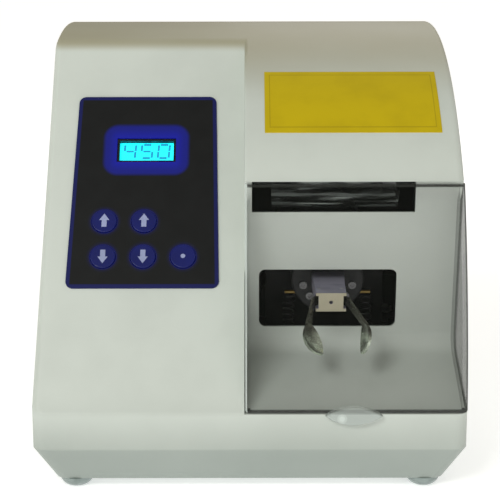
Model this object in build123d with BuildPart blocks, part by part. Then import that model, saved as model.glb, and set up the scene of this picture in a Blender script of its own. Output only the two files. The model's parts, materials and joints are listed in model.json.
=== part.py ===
"""Bench mixer for dental capsules: a two-part plastic case with a sloping keypad on the left, a mixing
chamber behind a clear visor on the right, and inside it a motor on a sprung carriage whose tilted journal
shakes a capsule fork.

Millimetres. X points right, Y back and Z up, with the origin on the table under the middle of the outline.
Depths are measured back from the front face of the case, and y_at() turns them into Y.
"""

import os
from math import cos, hypot, radians, sin, sqrt

from build123d import *

os.makedirs("parts", exist_ok=True)

# ---------------------------------------------------------------- case
case_width = 200.0
case_depth = 208.0
case_height = 207.0
wall = 2.5
floor_height = 4.7  # underside of the base pan, on the feet
parting_height = 22.0  # where the upper case meets the base pan
band_height = 39.0  # top of the upright front band
base_taper = 9.3  # how far the base pan draws in towards its bottom
corner_radius = 6.0  # upright corners of the case
edge_radius = 3.5  # rounding along the outer sides
crease_radius = 14.0  # soft bend at the top of the keypad face
rear_edge_radius = 6.0
hood_arc_radius = 176.9
hood_arc_depth = 170.0  # depth of the highest point of the hood
hood_lip_height = case_height - 66.0  # lower edge of the hood, over the visor
hood_edge_radius = 1.6  # rounding on the hood's edge beside the keypad
console_slope = 53.3  # degrees of the keypad face from the table
divide_x = -2.4  # plane between the keypad side and the chamber side
lip_height = 2.5  # locating lip of the base pan inside the upper case
lip_gap = 0.2

# ---------------------------------------------------------------- mixing chamber
ledge_depth = 4.0  # flat rest under the visor's lower edge
chamber_floor_depth = 48.0
chamber_floor_height = 58.0
chamber_roof_depth = 37.0
cove_radius = 9.0
window_left, window_right = 4.5, 70.3
window_bottom, window_top = 67.8, 96.9
window_corner = 3.0
slot_left, slot_right = 1.2, 77.9
slot_bottom = hood_lip_height - 15.6

# ---------------------------------------------------------------- visor
visor_gap = 0.5  # free room between the visor and the case
visor_wall = 2.2
visor_setback = 1.0  # behind the front band
visor_bulge = 4.2  # how far its curved front stands out of a straight line
visor_corner = 3.0
visor_range = 78.0
hinge_depth = 46.5
hinge_height = hood_lip_height + 3.5
hinge_pin_radius = 2.0
running_gap = 0.05
hinge_barrel_radius = 4.4
hinge_arm_left, hinge_arm_right = 10.5, 69.5
hinge_arm_gap = 0.7  # between the curved arm and the outer corner of the hood lip
hinge_spoke_angle = 288.0  # degrees round the pin where the arm turns in to it
hinge_spoke_wall = 2.6
hinge_ear_width = 4.0
hinge_ear_gap = 1.5
hinge_arm_start = 197.0  # where the curved arm grows out of the visor's top
visor_edge = 1.4  # rounding along the visor's outer edges
thumb_tab_rounding = 0.8
clip_radius = 3.6
clip_width = 1.2
magnet_size = 6.0
magnet_thickness = 2.0
thumb_tab_x = 47.5
thumb_tab_width = 26.0
thumb_tab_height = 8.4
thumb_tab_reach = 4.5

# ---------------------------------------------------------------- keypad
overlay_thickness = 0.8
overlay_length = 104.6  # along the slope
overlay_below_crease = 33.5  # from the bend over the keypad face down to the overlay
overlay_centre_x = 49.0 - case_width / 2
overlay_bottom_width, overlay_top_width = 73.0, 68.8
overlay_corner = 3.5
display_width, display_height = 29.2, 13.4
display_below_top = 30.3
button_pitch_across, button_pitch_up = 19.2, 18.8
button_row_below_top = 88.4  # lower row
button_radius = 6.1
button_gap = 0.2
button_proud = 0.9
button_travel = 0.8
display_ledge = 1.2  # shelf in the case that the display window lies on
button_flange = 1.1
button_stem_radius = 1.6
board_drop = 10.5  # circuit board below the keypad face
board_thickness = 1.6
board_margin = 3.0
switch_size, switch_height = 6.0, 3.5
plunger_radius, plunger_height = 1.7, 1.0
standoff_radius = 3.2
board_screw_radius = 1.2
board_screw_length = 6.0
lcd_rim, lcd_thickness = 1.8, 2.4
chip_height = 1.8
chip_places = [(0.0, -18.0, 12.0, 12.0), (-17.0, -8.0, 7.0, 10.0), (16.0, 6.0, 8.0, 6.0)]

# ---------------------------------------------------------------- sprung carriage and motor
drive_x = 38.2
drive_height = 91.0
wobble_depth = 74.0  # where the tilted journal crosses the motor shaft
wobble_tilt = 8.0
carriage_width, carriage_thickness = 96.0, 3.0
carriage_front, carriage_back = 54.0, case_depth - 24.0
carriage_bottom = 33.0
carriage_travel = 2.0
carriage_corner = 5.0
post_inset = 9.0
post_radius = 2.5
post_gap = 0.7
post_top_room = 6.0
isolator_radius = 5.6
spring_wire = 1.0
spring_turns = 6
nut_radius, nut_height = 4.5, 3.0
transit_spacing = 72.0
transit_radius = 2.0
motor_radius = 26.0
motor_length = 66.0
motor_cap_length = 9.0
motor_boss_radius, motor_boss_length = 9.0, 3.0
bracket_depth = 92.0
bracket_thickness = 4.0
bracket_width = 60.0
shaft_radius = 4.0
journal_radius = 8.0
journal_length = 15.0
hub_radius, hub_length = 11.0, 7.0
bearing_radius = 14.0
bearing_width = 9.0
swing_room = 2.2  # free room round the journal, which lets each joint move by itself
drum_radius = 18.0
drum_front, drum_face = 16.0, 3.0
arm_root_width, arm_width, arm_height = 15.8, 14.2, 8.0
swing_range = 8.0
anchor_drop, anchor_forward, anchor_reach = 7.5, 14.5, 21.0
anchor_radius = 1.0
centring_radius, centring_wire, centring_turns = 2.6, 0.7, 14
centring_x = 19.0
bumper_height = 3.0
motor_wall, motor_screw_circle = 2.0, 18.0
bracket_foot = 26.0
armature_radius, armature_slots, armature_slot = 20.0, 7, 3.0
roller_count = 12
drum_rounding = 1.5
hook_height, hook_radius = 4.0, 1.5
drum_screw_circle = 12.4
drum_screw_angles = (195.0, 225.0, 315.0, 345.0)
drum_screw_radius, drum_screw_grip = 1.9, 2.4
drum_screw_head = 1.1
anchor_seat = 13.0  # from the middle of the drum to the blind end of an anchor's hole

# ---------------------------------------------------------------- capsule fork
head_front = 46.5  # along the arm from the wobble centre
head_length = 12.0
head_height = 9.2
head_flange = 1.4
head_web_width = 3.6
head_nose_width, head_nose_length = 11.6, 3.0
head_hole_radius = 0.9
finger_pivot_x, finger_pivot_back = 5.3, 6.0
finger_pin_radius = 0.9
finger_root_radius = 1.9
finger_root_height = 4.4
finger_gap = 0.3
finger_wall = 1.3
finger_strip = 4.2
finger_range = 9.0
knee_forward, knee_out = 3.7, 3.1  # from a finger's pivot to where it leaves the head
# bend and tip of each finger from its pivot: forwards, outwards and down
left_elbow, left_tip = (13.2, 7.0, 8.0), (22.0, 0.8, 20.6)
right_elbow, right_tip = (13.0, 11.3, 7.2), (21.8, 10.2, 19.6)
left_twist, right_twist = 46.0, 24.0  # degrees each pad is turned towards the front
pad_width = 9.6
pad_bowl = 13.0
pad_neck = 6.0  # from the middle of a pad to where its strip runs into it
finger_spring_radius, finger_spring_wire, finger_spring_turns = 1.4, 0.35, 3

# ---------------------------------------------------------------- electronics in the base
power_board_x, power_board_depth = 42.0 - case_width / 2, 112.0
power_board_width, power_board_length = 66.0, 100.0
power_board_height = 14.0
transformer_width, transformer_length, transformer_height = 42.0, 36.0, 34.0
capacitor_radius, capacitor_height, capacitor_count = 6.5, 22.0, 3
heat_sink_width, heat_sink_length, heat_sink_height = 40.0, 14.0, 24.0
fin_count, fin_thickness = 7, 1.6
heat_sink_depth, capacitor_depth, transformer_depth = 92.0, 112.0, 142.0
capacitor_pitch = 17.0
coil_inset = 7.0  # how far the transformer's winding stands inside its core, at top and bottom
ribbon_width, ribbon_thickness, ribbon_bend = 14.0, 0.9, 6.0
ribbon_above_bottom, ribbon_depth, ribbon_lead = 11.6, 70.0, 12.0

# ---------------------------------------------------------------- rear fittings
fitting_height = 52.0
rim_gap = 0.3
rocker_wall = 1.2
inlet_x, inlet_width, inlet_tall = 38.0 - case_width / 2, 27.0, 19.8
inlet_flange_width, inlet_flange_tall, inlet_flange_thickness = 50.0, 27.0, 3.0
inlet_screw_spacing = 40.0
inlet_depth, inlet_wall, inlet_recess = 20.0, 1.6, 16.0
blade_pitch, blade_drop, blade_width, blade_thickness, blade_length = 7.0, 4.0, 4.0, 2.0, 10.0
rocker_x, rocker_width, rocker_radius = inlet_x + 44.0, 13.0, 9.4
rocker_frame_rim, rocker_frame_thickness, rocker_frame_depth = 1.6, 2.0, 15.0
rocker_pivot_inset, rocker_proud = 1.0, 3.0  # pivot inside the case's rear face, and face beyond the pivot
rocker_range = 16.0
rocker_gap = 0.4
fuse_x = inlet_x + 74.0
fuse_radius, fuse_flange_radius, fuse_flange_thickness = 6.3, 8.4, 2.0
fuse_cap_radius, fuse_cap_length = 6.0, 7.0
fuse_body_length = 30.0
cap_slot_width, cap_slot_depth = 1.2, 1.5
blade_tab = 6.0

# ---------------------------------------------------------------- feet and screws
foot_x, foot_inset = case_width / 2 - 18.5, 16.5
foot_radius, foot_seat_radius = 8.0, 4.5
screw_head_radius, screw_head_height, screw_radius = 3.0, 1.4, 1.7
foot_counterbore = 2.2
screw_grip = 9.0  # how far a case screw reaches into the upper case
screw_slot = 0.7
small_screw_radius, small_head_radius, small_head_height = 1.5, 2.8, 1.6
vent_x, vent_count, vent_pitch, vent_length, vent_width = 38.2, 9, 7.0, 44.0, 3.0
post_boss_radius = 5.0
rear_boss_top = 60.0
label_left, label_right = 7.4, 91.4
label_low, label_high = 51.3, 87.5  # depths of its two long edges
label_thickness = 0.2

# ---------------------------------------------------------------- worked out
half_width = case_width / 2
rear_reach = fuse_flange_thickness + fuse_cap_length
front_reach = thumb_tab_reach - visor_setback
front_y = (front_reach - case_depth - rear_reach) / 2
hood_centre_height = case_height - hood_arc_radius
slope_cos, slope_sin = cos(radians(console_slope)), sin(radians(console_slope))
rocker_hole_width = rocker_width + 2 * (rocker_gap + rocker_wall)
rocker_hole_tall = 2 * (rocker_radius + rocker_gap + rocker_wall)
tilt_cos, tilt_sin = cos(radians(wobble_tilt)), sin(radians(wobble_tilt))


def y_at(depth):
    """Y of a point at this depth behind the front face."""
    return front_y + depth


def yz(depth, height):
    """A point of a side-view sketch."""
    return (y_at(depth), height)


def hood_depth(height, inset=0.0):
    """Depth of the hood's curved front at a height, or of a surface inset below it."""
    return hood_arc_depth - sqrt((hood_arc_radius - inset) ** 2 - (height - hood_centre_height) ** 2)


def hood_height(depth, inset=0.0):
    """Height of the hood's curved top at a depth, or of a surface inset below it."""
    return hood_centre_height + sqrt((hood_arc_radius - inset) ** 2 - (depth - hood_arc_depth) ** 2)


def back_wall_depth(height):
    """Depth of the chamber's leaning back wall at a height."""
    lean = (chamber_floor_depth - chamber_roof_depth) / (hood_lip_height - chamber_floor_height)
    return chamber_floor_depth - lean * (height - chamber_floor_height)


def side_plane(x):
    """Side-view plane at X, whose sketches are in Y and Z."""
    return Plane.YZ.offset(x)


def front_plane(depth):
    """Front-view plane at a depth, whose sketches are in X and Z and extrude towards the front."""
    return Plane.XZ.offset(-y_at(depth))


def rear_plane(depth):
    """Rear-view plane at a depth, whose sketches are in -X and Z and extrude towards the back."""
    return Plane(origin=(0, y_at(depth), 0), x_dir=(-1, 0, 0), z_dir=(0, 1, 0))


def console_plane(height=0.0):
    """Plane of the keypad face, or at a height above it: sketches are in X and up the slope."""
    face = Plane(origin=(0, y_at(0), band_height), x_dir=(1, 0, 0), z_dir=(0, -slope_sin, slope_cos))
    return face.offset(height)


def arm_point(forward, across, up):
    """A point in the arm's own directions, from the wobble centre."""
    return Vector(
        drive_x + across,
        y_at(wobble_depth) - forward * tilt_cos - up * tilt_sin,
        drive_height - forward * tilt_sin + up * tilt_cos,
    )


def arm_plane(forward):
    """Plane square to the arm: sketches are across and up it, and extrude forwards."""
    return Plane(origin=arm_point(forward, 0, 0), x_dir=(1, 0, 0), z_dir=(0, -tilt_cos, -tilt_sin))


def arm_top_plane(up):
    """Plane along the arm: sketches are across it and back along it, and extrude up."""
    return Plane(origin=arm_point(0, 0, up), x_dir=(1, 0, 0), z_dir=(0, -tilt_sin, tilt_cos))


def keep(builder, label):
    """Names a finished sub-part and writes its STEP file."""
    builder.part.label = label
    export_step(builder.part, f"parts/{label}.step")


# ================================================================ upper case
def crease_point(inset):
    """Where the keypad face meets the hood's arc, for the outside or for a surface inset from it."""
    rise = slope_sin / slope_cos
    offset_height = band_height - inset / slope_cos - hood_centre_height
    a = 1 + rise**2
    b = rise * offset_height - hood_arc_depth
    c = hood_arc_depth**2 + offset_height**2 - (hood_arc_radius - inset) ** 2
    depth = (sqrt(b**2 - a * c) - b) / a
    return (depth, hood_height(depth, inset))


crease_depth, crease_height = crease_point(0.0)
overlay_top = hypot(crease_depth, crease_height - band_height) - overlay_below_crease
overlay_bottom = overlay_top - overlay_length
display_up_slope = overlay_top - display_below_top
button_row_up_slope = overlay_top - button_row_below_top
ribbon_up_slope = overlay_bottom + ribbon_above_bottom


def case_profile(front_points, inset, x):
    """Side view of one side of the case: its front points, then the hood's arc, the rear and the bottom."""
    bottom = parting_height - inset
    rear = case_depth - inset
    start = front_points[-1]
    middle = (start[0] + rear) / 2
    rear_top = yz(rear, hood_height(rear, inset))
    with BuildSketch(side_plane(x)) as sketch:
        with BuildLine():
            Polyline([yz(inset, bottom)] + [yz(*point) for point in front_points])
            ThreePointArc(yz(*start), yz(middle, hood_height(middle, inset)), rear_top)
            Polyline(rear_top, yz(rear, bottom), yz(inset, bottom))
        make_face()
    return sketch.sketch


def chamber_profile(grow, x):
    """Side view of the mixing chamber, grown by the wall for the inside of the case."""
    front = -hood_arc_depth / 2
    with BuildSketch(side_plane(x)) as sketch:
        with BuildLine():
            Polyline(
                yz(front, band_height),
                yz(ledge_depth, band_height),
                yz(chamber_floor_depth, chamber_floor_height),
                yz(chamber_roof_depth, hood_lip_height),
                yz(front, hood_lip_height),
                close=True,
            )
        make_face()
        corner = Vector(x, *yz(chamber_floor_depth, chamber_floor_height))
        fillet(sketch.vertices().sort_by_distance(corner)[0], cove_radius)
        if grow:
            offset(amount=grow, kind=Kind.INTERSECTION)
    return sketch.sketch


button_places = [
    (overlay_centre_x - button_pitch_across, button_row_up_slope + button_pitch_up, "speed_up_button"),
    (overlay_centre_x - button_pitch_across, button_row_up_slope, "speed_down_button"),
    (overlay_centre_x, button_row_up_slope + button_pitch_up, "time_up_button"),
    (overlay_centre_x, button_row_up_slope, "time_down_button"),
    (overlay_centre_x + button_pitch_across, button_row_up_slope, "start_button"),
]
inlet_screw_xs = (inlet_x - inlet_screw_spacing / 2, inlet_x + inlet_screw_spacing / 2)
carriage_middle = (carriage_front + carriage_back) / 2
post_points = [
    (drive_x + side * (carriage_width / 2 - post_inset), y_at(depth))
    for side in (-1, 1)
    for depth in (carriage_front + post_inset, carriage_back - post_inset)
]
transit_points = [(drive_x + side * transit_spacing / 2, y_at(carriage_middle)) for side in (-1, 1)]
power_post_points = [
    (power_board_x + side * (power_board_width / 2 - standoff_radius), y_at(power_board_depth) + end)
    for side in (-1, 1)
    for end in (standoff_radius - power_board_length / 2, power_board_length / 2 - standoff_radius)
]
bracket_points = [
    (drive_x + side * bracket_width / 3, y_at(bracket_depth) + 2 * bracket_foot / 3) for side in (-1, 1)
]
hood_lip = (hood_depth(hood_lip_height), hood_lip_height)
hood_lip_inside = (hood_depth(hood_lip_height, wall), hood_lip_height)
foot_points = [
    (side * foot_x, y_at(depth)) for side in (-1, 1) for depth in (foot_inset, case_depth - foot_inset)
]
hinge_ear_lefts = (hinge_arm_left - hinge_ear_gap - hinge_ear_width, hinge_arm_right + hinge_ear_gap)
board_width = overlay_bottom_width - 2 * board_margin
board_length = overlay_top - overlay_bottom - 2 * board_margin
board_up_slope = (overlay_top + overlay_bottom) / 2
standoff_points = [
    (overlay_centre_x + side * (board_width / 2 - standoff_radius - board_margin), board_up_slope + end)
    for side in (-1, 1)
    for end in (-(board_length / 2 - standoff_radius), board_length / 2 - standoff_radius)
]

with BuildPart() as console_block:
    console_right = divide_x + hood_edge_radius
    extrude(case_profile([(0.0, band_height), crease_point(0.0)], 0.0, -half_width), half_width + console_right)
    crease = Vector(-half_width / 2, *yz(*crease_point(0.0)))
    fillet(console_block.edges().filter_by(Axis.X).sort_by_distance(crease)[0], crease_radius)

with BuildPart() as hood_block:
    extrude(case_profile([(0.0, band_height), hood_lip], 0.0, divide_x), half_width - divide_x)
    fillet(hood_block.edges().filter_by(GeomType.CIRCLE).sort_by(Axis.X)[0], hood_edge_radius)

with BuildPart() as outline_block:
    with BuildSketch(Plane.XY.offset(parting_height)):
        with Locations((0, y_at(case_depth / 2))):
            RectangleRounded(case_width, case_depth, corner_radius)
    extrude(amount=case_height)

with BuildPart() as case_ribs:
    with BuildSketch(Plane.XY.offset(parting_height)):
        for x, y in foot_points:
            with Locations((x, y)):
                Circle(post_boss_radius)
    extrude(amount=rear_boss_top - parting_height)
    with BuildSketch(Plane.XY.offset(parting_height + lip_height + lip_gap)):
        with Locations(*[(x, y_at(case_depth - foot_inset / 2)) for x in (-foot_x, foot_x)]):
            Rectangle(post_boss_radius, foot_inset)
    extrude(amount=rear_boss_top - parting_height - lip_height - lip_gap)
    for left in hinge_ear_lefts:
        with BuildSketch(side_plane(left)):
            with Locations(yz(hinge_depth, hinge_height)):
                Circle(hinge_barrel_radius + 1)
                Rectangle(2 * hinge_barrel_radius + 2, case_height / 4, align=(Align.CENTER, Align.MIN))
        extrude(amount=hinge_ear_width)
    with BuildSketch(console_plane(-board_drop)):
        with Locations(*standoff_points):
            Circle(standoff_radius)
    extrude(amount=board_drop)

with BuildPart() as case_hollow:
    extrude(
        case_profile([(wall, band_height), hood_lip_inside], wall, divide_x + wall),
        half_width - wall - divide_x - wall,
    )
    slope_start = (wall, band_height - wall * (1 - slope_sin) / slope_cos)
    console_inside = case_profile([slope_start, crease_point(wall)], wall, wall - half_width)
    extrude(console_inside, case_width - 2 * wall)
    extrude(chamber_profile(wall, divide_x - wall), case_width, mode=Mode.SUBTRACT)
    add(case_ribs.part, mode=Mode.SUBTRACT)

with BuildPart() as upper_case:
    add(console_block.part)
    add(hood_block.part)
    add(outline_block.part, mode=Mode.INTERSECT)
    outer_sides = [
        edge
        for edge in upper_case.edges()
        if abs(edge.center().X) > half_width - corner_radius
        and edge.bounding_box().min.Z > band_height - 1
        and edge.bounding_box().size.X + edge.bounding_box().size.Y > 1
    ]
    fillet(outer_sides, edge_radius)
    extrude(chamber_profile(0.0, divide_x), case_width, mode=Mode.SUBTRACT)
    add(case_hollow.part, mode=Mode.SUBTRACT)
    # window and hinge slot in the chamber's back wall
    with BuildSketch(front_plane(chamber_roof_depth - wall)):
        with Locations(((window_left + window_right) / 2, (window_bottom + window_top) / 2)):
            RectangleRounded(window_right - window_left, window_top - window_bottom, window_corner)
    extrude(amount=-(chamber_floor_depth - chamber_roof_depth + 3 * wall), mode=Mode.SUBTRACT)
    with BuildSketch(side_plane(slot_left)):
        with BuildLine():
            Polyline(
                yz(hood_lip_inside[0], slot_bottom),
                yz(chamber_floor_depth, slot_bottom),
                yz(chamber_floor_depth, hood_lip_height + 2 * wall),
                yz(hood_depth(hood_lip_height + 2 * wall, wall), hood_lip_height + 2 * wall),
                yz(*hood_lip_inside),
                close=True,
            )
        make_face()
    extrude(amount=slot_right - slot_left, mode=Mode.SUBTRACT)
    # openings in the keypad face
    with BuildSketch(console_plane(-2 * wall)):
        with Locations(*[(x, up) for x, up, _ in button_places]):
            Circle(button_radius + button_gap)
        with Locations((overlay_centre_x, display_up_slope)):
            Rectangle(display_width - 2 * display_ledge, display_height - 2 * display_ledge)
    extrude(amount=3 * wall, mode=Mode.SUBTRACT)
    # openings in the rear wall, and the screw holes
    with BuildSketch(rear_plane(case_depth - 2 * wall)):
        with Locations((-inlet_x, fitting_height)):
            Rectangle(inlet_width + rim_gap, inlet_tall + rim_gap)
        with Locations((-rocker_x, fitting_height)):
            Rectangle(rocker_hole_width, rocker_hole_tall)
        with Locations((-fuse_x, fitting_height)):
            Circle(fuse_radius + rim_gap)
        with Locations(*[(-x, fitting_height) for x in inlet_screw_xs]):
            Circle(small_screw_radius + running_gap)
    extrude(amount=3 * wall, mode=Mode.SUBTRACT)
    with BuildSketch(Plane.XY):
        with Locations(*foot_points):
            Circle(screw_radius + running_gap)
    extrude(amount=parting_height + screw_grip, mode=Mode.SUBTRACT)
    with BuildSketch(side_plane(hinge_ear_lefts[0])):
        with Locations(yz(hinge_depth, hinge_height)):
            Circle(hinge_pin_radius)
    extrude(amount=hinge_ear_lefts[1] + hinge_ear_width - hinge_ear_lefts[0], mode=Mode.SUBTRACT)
    with BuildSketch(console_plane(-board_drop)):
        with Locations(*standoff_points):
            Circle(board_screw_radius + running_gap)
    extrude(amount=board_screw_length - board_thickness, mode=Mode.SUBTRACT)

keep(upper_case, "upper_case")

# ================================================================ base pan, feet and case screws
def pan_shell(inset, bottom, top):
    """The tapered inside or outside of the base pan, as a loft between its floor and its rim."""
    drawn_in = base_taper * (parting_height - bottom) / (parting_height - floor_height)
    with BuildPart() as shell:
        for height, shrink in ((bottom, drawn_in + inset), (top, inset)):
            with BuildSketch(Plane.XY.offset(height)):
                with Locations((0, y_at(case_depth / 2))):
                    RectangleRounded(
                        case_width - 2 * shrink, case_depth - 2 * shrink, corner_radius
                    )
        loft()
    return shell.part


with BuildPart() as base_pan:
    add(pan_shell(0.0, floor_height, parting_height))
    add(pan_shell(wall, floor_height + wall, parting_height), mode=Mode.SUBTRACT)
    with BuildSketch(Plane.XY.offset(parting_height - wall)):
        with Locations((0, y_at(case_depth / 2))):
            RectangleRounded(
                case_width - 2 * (wall + lip_gap), case_depth - 2 * (wall + lip_gap), corner_radius - wall
            )
            RectangleRounded(
                case_width - 4 * wall, case_depth - 4 * wall, corner_radius - wall, mode=Mode.SUBTRACT
            )
    extrude(amount=wall + lip_height)
    with BuildSketch(Plane.XY.offset(floor_height)):
        with Locations(*foot_points):
            Circle(post_boss_radius)
    extrude(amount=parting_height - floor_height)
    with BuildSketch(Plane.XY.offset(floor_height)):
        with Locations(*post_points):
            Circle(isolator_radius + spring_wire)
        with Locations(*power_post_points):
            Circle(standoff_radius)
    extrude(amount=power_board_height - floor_height)
    with BuildSketch(Plane.XY):
        with Locations(*foot_points):
            Circle(screw_radius + running_gap)
        with Locations(*transit_points):
            Circle(transit_radius + running_gap)
    extrude(amount=parting_height, mode=Mode.SUBTRACT)
    with BuildSketch(Plane.XY.offset(floor_height + wall)):
        with Locations(*post_points):
            Circle(post_radius)
        with Locations(*power_post_points):
            Circle(board_screw_radius + running_gap)
    extrude(amount=power_board_height, mode=Mode.SUBTRACT)
    with BuildSketch(Plane.XY):
        with Locations((vent_x, y_at(case_depth / 2))):
            with GridLocations(vent_pitch, 1, vent_count, 1):
                SlotOverall(vent_length, vent_width, rotation=90)
    extrude(amount=floor_height + 2 * wall, mode=Mode.SUBTRACT)

keep(base_pan, "base_pan")

with BuildPart() as feet:
    for x, y in foot_points:
        with BuildSketch(Plane.XZ.offset(-y)):
            with BuildLine():
                Polyline((x + foot_seat_radius, 0), (x + screw_head_radius + lip_gap, 0))
                Line((x + screw_head_radius + lip_gap, 0), (x + screw_head_radius + lip_gap, foot_counterbore))
                Line(
                    (x + screw_head_radius + lip_gap, foot_counterbore),
                    (x + screw_radius + running_gap, foot_counterbore),
                )
                Line((x + screw_radius + running_gap, foot_counterbore), (x + screw_radius + running_gap, floor_height))
                Line((x + screw_radius + running_gap, floor_height), (x + foot_radius, floor_height))
                ThreePointArc(
                    (x + foot_radius, floor_height),
                    (x + foot_radius - 1.2, floor_height / 3),
                    (x + foot_seat_radius, 0),
                )
            make_face()
        revolve(axis=Axis((x, y, 0), (0, 0, 1)))

keep(feet, "feet")


def screws(plane, points, head_radius, head_height, radius, length):
    """Pan-head screws on a plane: heads on its near side with a cross recess, shanks on its far side."""
    with BuildPart() as builder:
        for reach, round_radius in ((-head_height, head_radius), (length, radius)):
            with BuildSketch(plane):
                with Locations(*points):
                    Circle(round_radius)
            extrude(amount=reach)
        with BuildSketch(plane.offset(-head_height)):
            with Locations(*points):
                Rectangle(head_radius, screw_slot)
                Rectangle(screw_slot, head_radius)
        extrude(amount=head_height / 2, mode=Mode.SUBTRACT)
    return builder


case_screws = screws(
    Plane.XY.offset(foot_counterbore),
    foot_points,
    screw_head_radius,
    screw_head_height,
    screw_radius,
    parting_height - foot_counterbore + screw_grip - lip_gap,
)
keep(case_screws, "case_screws")

# ================================================================ visor and its hinge
arm_inner_radius = hypot(hinge_depth - hood_lip[0], hinge_height - hood_lip[1]) + hinge_arm_gap
arm_outer_radius = arm_inner_radius + visor_wall
visor_left, visor_right = divide_x + visor_gap, half_width - visor_gap
visor_low = band_height + visor_gap
visor_high = hood_lip_height - visor_gap
visor_top_depth = hinge_depth - sqrt(arm_outer_radius**2 - (hinge_height - visor_high) ** 2)
chord = hypot(visor_top_depth - visor_setback, visor_high - visor_low)
visor_radius = (chord**2 / 4 + visor_bulge**2) / (2 * visor_bulge)
to_centre = visor_radius - visor_bulge
visor_centre = (
    (visor_setback + visor_top_depth) / 2 + to_centre * (visor_high - visor_low) / chord,
    (visor_low + visor_high) / 2 - to_centre * (visor_top_depth - visor_setback) / chord,
)
hinge_point = yz(hinge_depth, hinge_height)


def hinge_polar(radius, angle):
    """A side-view point at a radius and an angle round the hinge pin."""
    return (
        hinge_point[0] + radius * cos(radians(angle)),
        hinge_point[1] + radius * sin(radians(angle)),
    )


with BuildPart() as safety_visor:
    # solid block of the visor's outside
    with BuildSketch(side_plane(visor_left)):
        with BuildLine():
            Polyline(
                yz(-case_depth / 4, visor_low),
                yz(ledge_depth, visor_low),
                yz(chamber_floor_depth - visor_gap, chamber_floor_height + visor_gap),
                yz(back_wall_depth(visor_high) - visor_gap, visor_high),
                yz(-case_depth / 4, visor_high),
                close=True,
            )
        make_face()
        with Locations(yz(*visor_centre)):
            Circle(visor_radius, mode=Mode.INTERSECT)
        with Locations(hinge_point):
            Circle(arm_inner_radius, mode=Mode.SUBTRACT)
    extrude(amount=visor_right - visor_left)
    back_corner = Vector(0, *yz(chamber_floor_depth - visor_gap, chamber_floor_height + visor_gap))
    fillet(safety_visor.edges().filter_by(Axis.X).sort_by_distance(back_corner)[0], cove_radius + visor_gap)
    fillet(safety_visor.faces().sort_by(Axis.Y)[0].edges().filter_by(Axis.X, reverse=True), visor_edge)
    # hollow behind the curved front, between the two cheeks
    with BuildSketch(side_plane(visor_left + visor_wall)):
        with Locations(yz(*visor_centre)):
            Circle(visor_radius - visor_wall)
    extrude(amount=visor_right - visor_left - 2 * visor_wall, mode=Mode.SUBTRACT)
    # curved arm that reaches under the hood lip, its spoke and its barrel
    with BuildSketch(side_plane(hinge_arm_left)):
        with BuildLine():
            Polyline(
                hinge_point,
                hinge_polar(2 * arm_outer_radius, hinge_arm_start),
                hinge_polar(2 * arm_outer_radius, (hinge_arm_start + hinge_spoke_angle) / 2),
                hinge_polar(2 * arm_outer_radius, hinge_spoke_angle),
                close=True,
            )
        make_face()
        with Locations(hinge_point):
            Circle(arm_outer_radius, mode=Mode.INTERSECT)
            Circle(arm_inner_radius, mode=Mode.SUBTRACT)
        with Locations(Location((*hinge_point, 0), hinge_spoke_angle)):
            spoke_length = arm_outer_radius - visor_wall / 2
            Rectangle(spoke_length, hinge_spoke_wall, align=(Align.MIN, Align.CENTER))
        with Locations(hinge_point):
            Circle(hinge_barrel_radius)
            Circle(hinge_pin_radius + running_gap, mode=Mode.SUBTRACT)
    extrude(amount=hinge_arm_right - hinge_arm_left)
    # eye-shaped thumb tab, in front of the band
    lens_radius = (thumb_tab_width**2 + thumb_tab_height**2) / (4 * thumb_tab_height)
    lens_offset = lens_radius - thumb_tab_height / 2
    for depth, reach, low in (
        (-front_reach, front_reach - visor_gap, 0.0),
        (-visor_gap, visor_gap + visor_setback + visor_wall / 2, visor_low),
    ):
        with BuildSketch(front_plane(depth)):
            with Locations((thumb_tab_x, band_height + lens_offset)):
                Circle(lens_radius)
            with Locations((thumb_tab_x, band_height - lens_offset)):
                Circle(lens_radius, mode=Mode.INTERSECT)
            if low:
                with Locations((thumb_tab_x, low)):
                    Rectangle(
                        thumb_tab_width, thumb_tab_height, align=(Align.CENTER, Align.MIN), mode=Mode.INTERSECT
                    )
        extrude(amount=-reach)
    fillet(safety_visor.faces().sort_by(Axis.Y)[0].edges(), thumb_tab_rounding)

keep(safety_visor, "safety_visor")

hinge_ear_right = hinge_ear_lefts[1] + hinge_ear_width
with BuildPart() as hinge_pin:
    with BuildSketch(side_plane(hinge_ear_lefts[0] - clip_width)):
        with Locations(hinge_point):
            Circle(hinge_pin_radius)
    extrude(amount=hinge_ear_right - hinge_ear_lefts[0] + 2 * clip_width)

keep(hinge_pin, "hinge_pin")

with BuildPart() as hinge_clips:
    for left in (hinge_ear_lefts[0] - clip_width, hinge_ear_right):
        with BuildSketch(side_plane(left)):
            with Locations(hinge_point):
                Circle(clip_radius)
                Circle(hinge_pin_radius, mode=Mode.SUBTRACT)
        extrude(amount=clip_width)

keep(hinge_clips, "hinge_clips")

# a magnet on the hinge spoke and a sensor on the hinge ear tell the timer that the visor is shut
spoke_back = Vector(0, -sin(radians(hinge_spoke_angle)), cos(radians(hinge_spoke_angle)))
magnet_plane = Plane(
    origin=Vector(
        hinge_arm_right - magnet_size / 2, *hinge_polar(hinge_barrel_radius + magnet_size, hinge_spoke_angle)
    )
    + spoke_back * (hinge_spoke_wall / 2),
    x_dir=(1, 0, 0),
    z_dir=spoke_back,
)
with BuildPart() as visor_magnet:
    with BuildSketch(magnet_plane):
        Rectangle(magnet_size, magnet_size)
    extrude(amount=magnet_thickness)

keep(visor_magnet, "visor_magnet")

with BuildPart() as visor_sensor:
    with BuildSketch(magnet_plane.offset(magnet_thickness + hinge_ear_gap)):
        with Locations((hinge_ear_gap / 2, 0)):
            Rectangle(magnet_size + hinge_ear_gap, magnet_size)
    extrude(amount=magnet_thickness)

keep(visor_sensor, "visor_sensor")

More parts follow.
